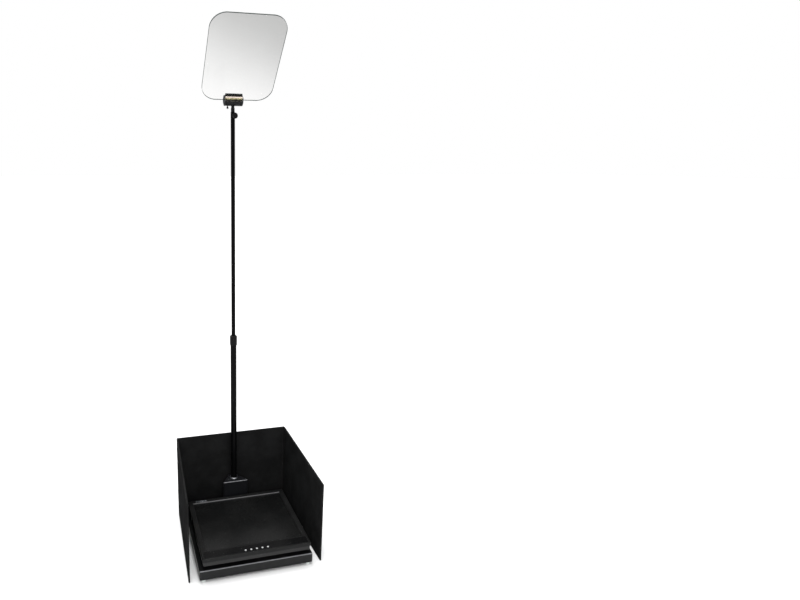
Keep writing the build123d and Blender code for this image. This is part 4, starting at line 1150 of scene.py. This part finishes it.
@dataclass
class Head:
    """Tilting clamp and the half-mirror glass. It is drawn upright about the tilt axis, then leaned over."""

    lean: float = 44.5
    axis_z: float = 1713.5
    body_half: float = 34.0
    body_r: float = 20.5
    seat: float = 10.0
    flat: float = 8.0
    seat_t: float = 1.5
    jaw_half: float = 32.0
    jaw_h: float = 19.5
    jaw_t: float = 3.0
    rear_h: float = 24.5
    screws_at: tuple[float, float] = (-27.0, 25.0)
    pad_t: float = 1.0
    cap_t: float = 1.8
    cap_r: float = 16.0
    glass_w: float = 264.0
    glass_l: float = 335.0
    glass_t: float = 5.0
    glass_r: float = 56.0
    glass_x: float = 9.0
    lever_x: float = -20.0
    lever_reach: float = 20.3
    lever_ball: float = 4.0
    lever_arm: float = 2.3
    tab_half: float = 4.0

    def build(self) -> None:
        """Builds the clamp, the glass and the lever."""
        self.body()
        self.jaw()
        self.pads()
        self.caps()
        self.pane()
        self.lever()
        dress(CLAMP, "head_post")
        dress(ZINC, "tilt_pin")

    def leaned(self, shape: Shape, *steps: Matrix) -> Shape:
        """Moves a piece from its drawing position onto the stand."""
        return moved(shape, at(y=Mast.axis_y, z=self.axis_z), spun(self.lean, "X"), *steps)

    def body(self) -> None:
        """Round bar with a flat, a slot for the glass, a rear jaw, slots for moving parts and bored holes."""
        r, s, steps = self.body_r, self.seat, 40
        past = math.asin(self.flat / r)
        angles = [math.pi + past - (math.pi + 2 * past) * k / steps for k in range(steps + 1)]
        arc = [(r * math.cos(a), s - r * math.sin(a)) for a in angles]
        ease = [0.8] + [0.0] * (steps - 1) + [0.8]
        half = stack(rounded(arc, ease, 3), edged(-self.body_half, self.body_half, 0.6, 0.6, 4))
        rear = self.glass_t / 2 + self.pad_t
        upstand = bar(-self.jaw_half, self.jaw_half, rear, rear + 4.5, s + 2, s + self.rear_h, 0.7)
        shape = combined("UNION", moved(half, ALONG_X), upstand)
        glass_slot = bar(-60, 60, -rear + 0.02, rear - 0.02, s + 0.01, s + 42, 0.05)
        slots = [bar(x - w, x + w, -r - 2, 8.5, -22, 7.5, 0.4) for x, w in ((0.0, 5.2), (self.lever_x, 2.7))]
        notch = bar(-self.jaw_half - 0.1, self.jaw_half + 0.1, -rear - self.jaw_t - 0.1, -rear,
                    0, s + self.flat + 3, 0.05)
        bores = [moved(peg(radius, near, 24.0, turns=32), at(x, 0, s - 4.0), spun(90.0, "X"))
                 for x in self.screws_at for radius, near in ((3.5, 15.0), (2.1, 4.0))]
        shape = carved(shape, joined(*slots), glass_slot, notch, *bores)
        piece("half_round_body", self.leaned(shape), [CLAMP], "clamp_black", "glass_clamp", "clamp_body")
        heads = [moved(screw_head(3.4, 2.4, Drive.HEXAGON), at(x, -15.0, s - 4.0), spun(90.0, "X"))
                 for x in self.screws_at]
        piece("clamp_screws", self.leaned(joined(*heads)), [BLACK_STEEL], "black_screw", "glass_clamp",
              "jaw_screws")

    def jaw(self) -> None:
        """Satin clamp plate in front of the glass, with a broken front edge and a groove along its foot."""
        front = -self.glass_t / 2 - self.pad_t
        plate = bar(-self.jaw_half, self.jaw_half, front - self.jaw_t, front,
                    7.6, self.seat + self.jaw_h, 0.6)
        middle = self.seat + (self.flat + self.jaw_h) / 2
        groove = bar(-self.jaw_half - 1, self.jaw_half + 1, front - self.jaw_t - 1, front - self.jaw_t + 0.35,
                     middle, middle + 0.7, 0.1)
        tabs = [bar(x - self.tab_half, x + self.tab_half, front - self.jaw_t, front, 0.2, 9.0, 0.4)
                for x in self.screws_at]
        bores = [moved(peg(2.1, 4.0, 24.0), at(x, 0, self.seat - 4.0), spun(90.0, "X"))
                 for x in self.screws_at]
        shape = carved(combined("UNION", plate, joined(*tabs)), groove, *bores)
        # The upper half of the plate gets the paler brass: a painted reflection.
        shape = second_finish(shape, lambda face: face.calc_center_median().z > middle)
        piece("satin_jaw", self.leaned(shape), [BRASS, BRASS_REFLECTION], "jaw_brass", "glass_clamp", "front_jaw")

    def pads(self) -> None:
        """Rubber strips that grip the glass. The front one stands above its jaw."""
        near, far = self.glass_t / 2, self.glass_t / 2 + self.pad_t
        top = self.seat + self.rear_h
        front = bar(-self.jaw_half, self.jaw_half, -far, -near, self.seat, top, 0.3)
        rear = bar(-self.jaw_half, self.jaw_half, near, far, self.seat, top, 0.3)
        seat = bar(-self.jaw_half, self.jaw_half, -near, near, self.seat, self.seat + self.seat_t, 0.3)
        for name, shape, node in (("front_strip", front, "front_pad"), ("rear_strip", rear, "rear_pad"),
                                  ("seat_strip", seat, "glass_seat")):
            piece(name, self.leaned(shape), [PAD], "pad_rubber", "glass_clamp", node)

    def caps(self) -> None:
        """Round end caps with a dished face, slotted for the glass."""
        r, t, gap = self.cap_r, self.cap_t, self.glass_t / 2 + 0.6
        for name, side in (("left", -1), ("right", 1)):
            disc = turned([(0, 0), (r, 0), (r, t), (r - 2.6, t), (r - 3.4, t - 0.7), (0, t - 0.7)],
                          [0, 0.1, 1.0, 0.4, 0.4, 0], 96)
            face = carved(disc, bar(-40.0, -0.8, -gap, gap, -1, t + 1, 0.05))
            place = [at(side * self.body_half, 0, self.seat), spun(90.0 * side, "Y")]
            if side < 0:
                place.append(spun(180.0))
            piece(f"{name}_end_cap", self.leaned(face, *place), [CAP], "cap_grey", "glass_clamp",
                  f"end_cap_{name}")

    def pane(self) -> None:
        """Half-mirror pane with rounded corners and ground, bevelled edges."""
        w, l, t = self.glass_w, self.glass_l, self.glass_t
        shape = stack(rectangle(-w / 2, w / 2, 0.0, l), [(0.7, 0.0), (0.0, 0.7), (0.0, t - 0.7), (0.7, t)],
                      self.glass_r, 24)
        shape = second_finish(shape, lambda face: abs(face.normal.z) < 0.9)
        placed = self.leaned(shape, at(self.glass_x, t / 2, self.seat + self.seat_t), ALONG_Y)
        piece("half_mirror_pane", placed, [HALF_MIRROR, PANE_EDGE], "splitter_glass", "glass_clamp",
              "beam_splitter")

    def lever(self) -> None:
        """Cam lever: a round hub on the tilt pin, a waisted arm and a ball at its end."""
        hub = moved(turned([(3.1, -2.5), (6.0, -2.5), (6.0, 2.5), (3.1, 2.5)], 0.5, 48),
                    at(self.lever_x, Mast.axis_y, self.axis_z), spun(90.0, "Y"))
        reach, ball, arm_r = self.lever_reach, self.lever_ball, self.lever_arm
        arm = [(0, -reach - ball)]
        arm += [(ball * math.sin(a), -reach - ball * math.cos(a))
                for a in (math.pi * k / 12 for k in range(1, 10))]
        arm += [(arm_r - 0.4, -reach + 6.0), (arm_r, -6.5), (arm_r, -5.6), (0, -5.6)]
        stem = moved(turned(arm, 0.0, 32), at(self.lever_x, Mast.axis_y, self.axis_z))
        shape = combined("UNION", hub, stem)
        tip_z = self.axis_z - reach - ball / 2
        shape = second_finish(shape, lambda face: face.calc_center_median().z < tip_z)
        piece("cam_lever", shape, [BLACK_STEEL, LEVER_TIP], "black_plastic", "lever", "tilt_lever")


# ---- Studio ----------------------------------------------------------------------------------------
@dataclass
class Studio:
    """Pale floor, soft overhead light and the camera. Lengths are metres, angles degrees."""

    camera_at: tuple[float, float, float] = (-0.4736, -1.9620, 1.4984)
    look_down: float = 13.77
    look_right: float = 13.81
    roll: float = 0.15
    lens: float = 25.29
    shift: float = 0.1922
    floor_half: float = 60.0
    backdrop: float = 1.0
    room_light: float = 0.45
    overhead: float = 3.1
    overhead_spread: float = 44.0
    front_fill: float = 1.3
    front_spread: float = 60.0

    def build(self) -> None:
        """Sets up everything around the stand."""
        self.floor()
        self.world()
        self.lamps()
        self.camera()

    def floor(self) -> None:
        """Large sheet of pale paper."""
        mesh = bpy.data.meshes.new("studio_floor")
        sheet = bmesh.new()
        bmesh.ops.create_grid(sheet, x_segments=12, y_segments=12, size=self.floor_half)
        sheet.to_mesh(mesh)
        sheet.free()
        mesh.materials.append(FLOOR.material())
        floor = bpy.data.objects.new("studio_floor", mesh)
        bpy.context.scene.collection.objects.link(floor)

    def world(self) -> None:
        """White backdrop that lights the room more softly than it shows."""
        world = bpy.data.worlds.new("studio")
        bpy.context.scene.world = world
        world.use_nodes = True
        world.node_tree.nodes.clear()
        bench = Bench(world.node_tree)
        path = bench.add("LightPath")
        seen = bench.maths("MAXIMUM", path.outputs["Is Camera Ray"], path.outputs["Is Transmission Ray"])
        extra = bench.maths("MULTIPLY", seen, self.backdrop - self.room_light)
        strength = bench.maths("ADD", self.room_light, extra)
        sky = bench.add("Background", {"Color": (1.0, 1.0, 1.0, 1.0), "Strength": strength})
        bench.add("OutputWorld", {"Surface": sky.outputs[0]})
        bpy.context.scene.view_settings.view_transform = "Standard"

    def lamps(self) -> None:
        """Broad overhead softbox, and a weaker one in front that lights the inside of the hood."""
        boxes = (("overhead_softbox", self.overhead, self.overhead_spread, (-8.0, -6.0, 0.0)),
                 ("front_softbox", self.front_fill, self.front_spread, (48.0, 0.0, -8.0)))
        for name, energy, spread, turn in boxes:
            light = bpy.data.lights.new(name, "SUN")
            light.energy = energy
            light.angle = math.radians(spread)
            lamp = bpy.data.objects.new(name, light)
            lamp.location = (0.0, 0.0, 6.0)
            lamp.rotation_euler = tuple(math.radians(a) for a in turn)
            bpy.context.scene.collection.objects.link(lamp)

    def camera(self) -> None:
        """Camera in front and to the left of the stand, a little under the glass."""
        lens = bpy.data.cameras.new("camera")
        lens.lens = self.lens
        lens.sensor_width = 36.0
        lens.shift_x = self.shift
        lens.clip_end = 300.0
        camera = bpy.data.objects.new("camera", lens)
        down, right = math.radians(self.look_down), math.radians(self.look_right)
        ahead = Vector((math.sin(right) * math.cos(down), math.cos(right) * math.cos(down), -math.sin(down)))
        turn = ahead.to_track_quat("-Z", "Y").to_matrix().to_4x4() @ spun(self.roll)
        camera.matrix_world = Matrix.Translation(self.camera_at) @ turn
        bpy.context.scene.collection.objects.link(camera)
        bpy.context.scene.camera = camera


def main() -> None:
    """Builds the stand from the floor up, and the studio round it."""
    logging.basicConfig(level=logging.INFO, format="%(name)s: %(message)s")
    for assembly in (Studio(), Base(), Monitor(), Hood(), Mast(), Head()):
        log.info("building %s", type(assembly).__name__)
        assembly.build()


if __name__ == "__main__":
    main()
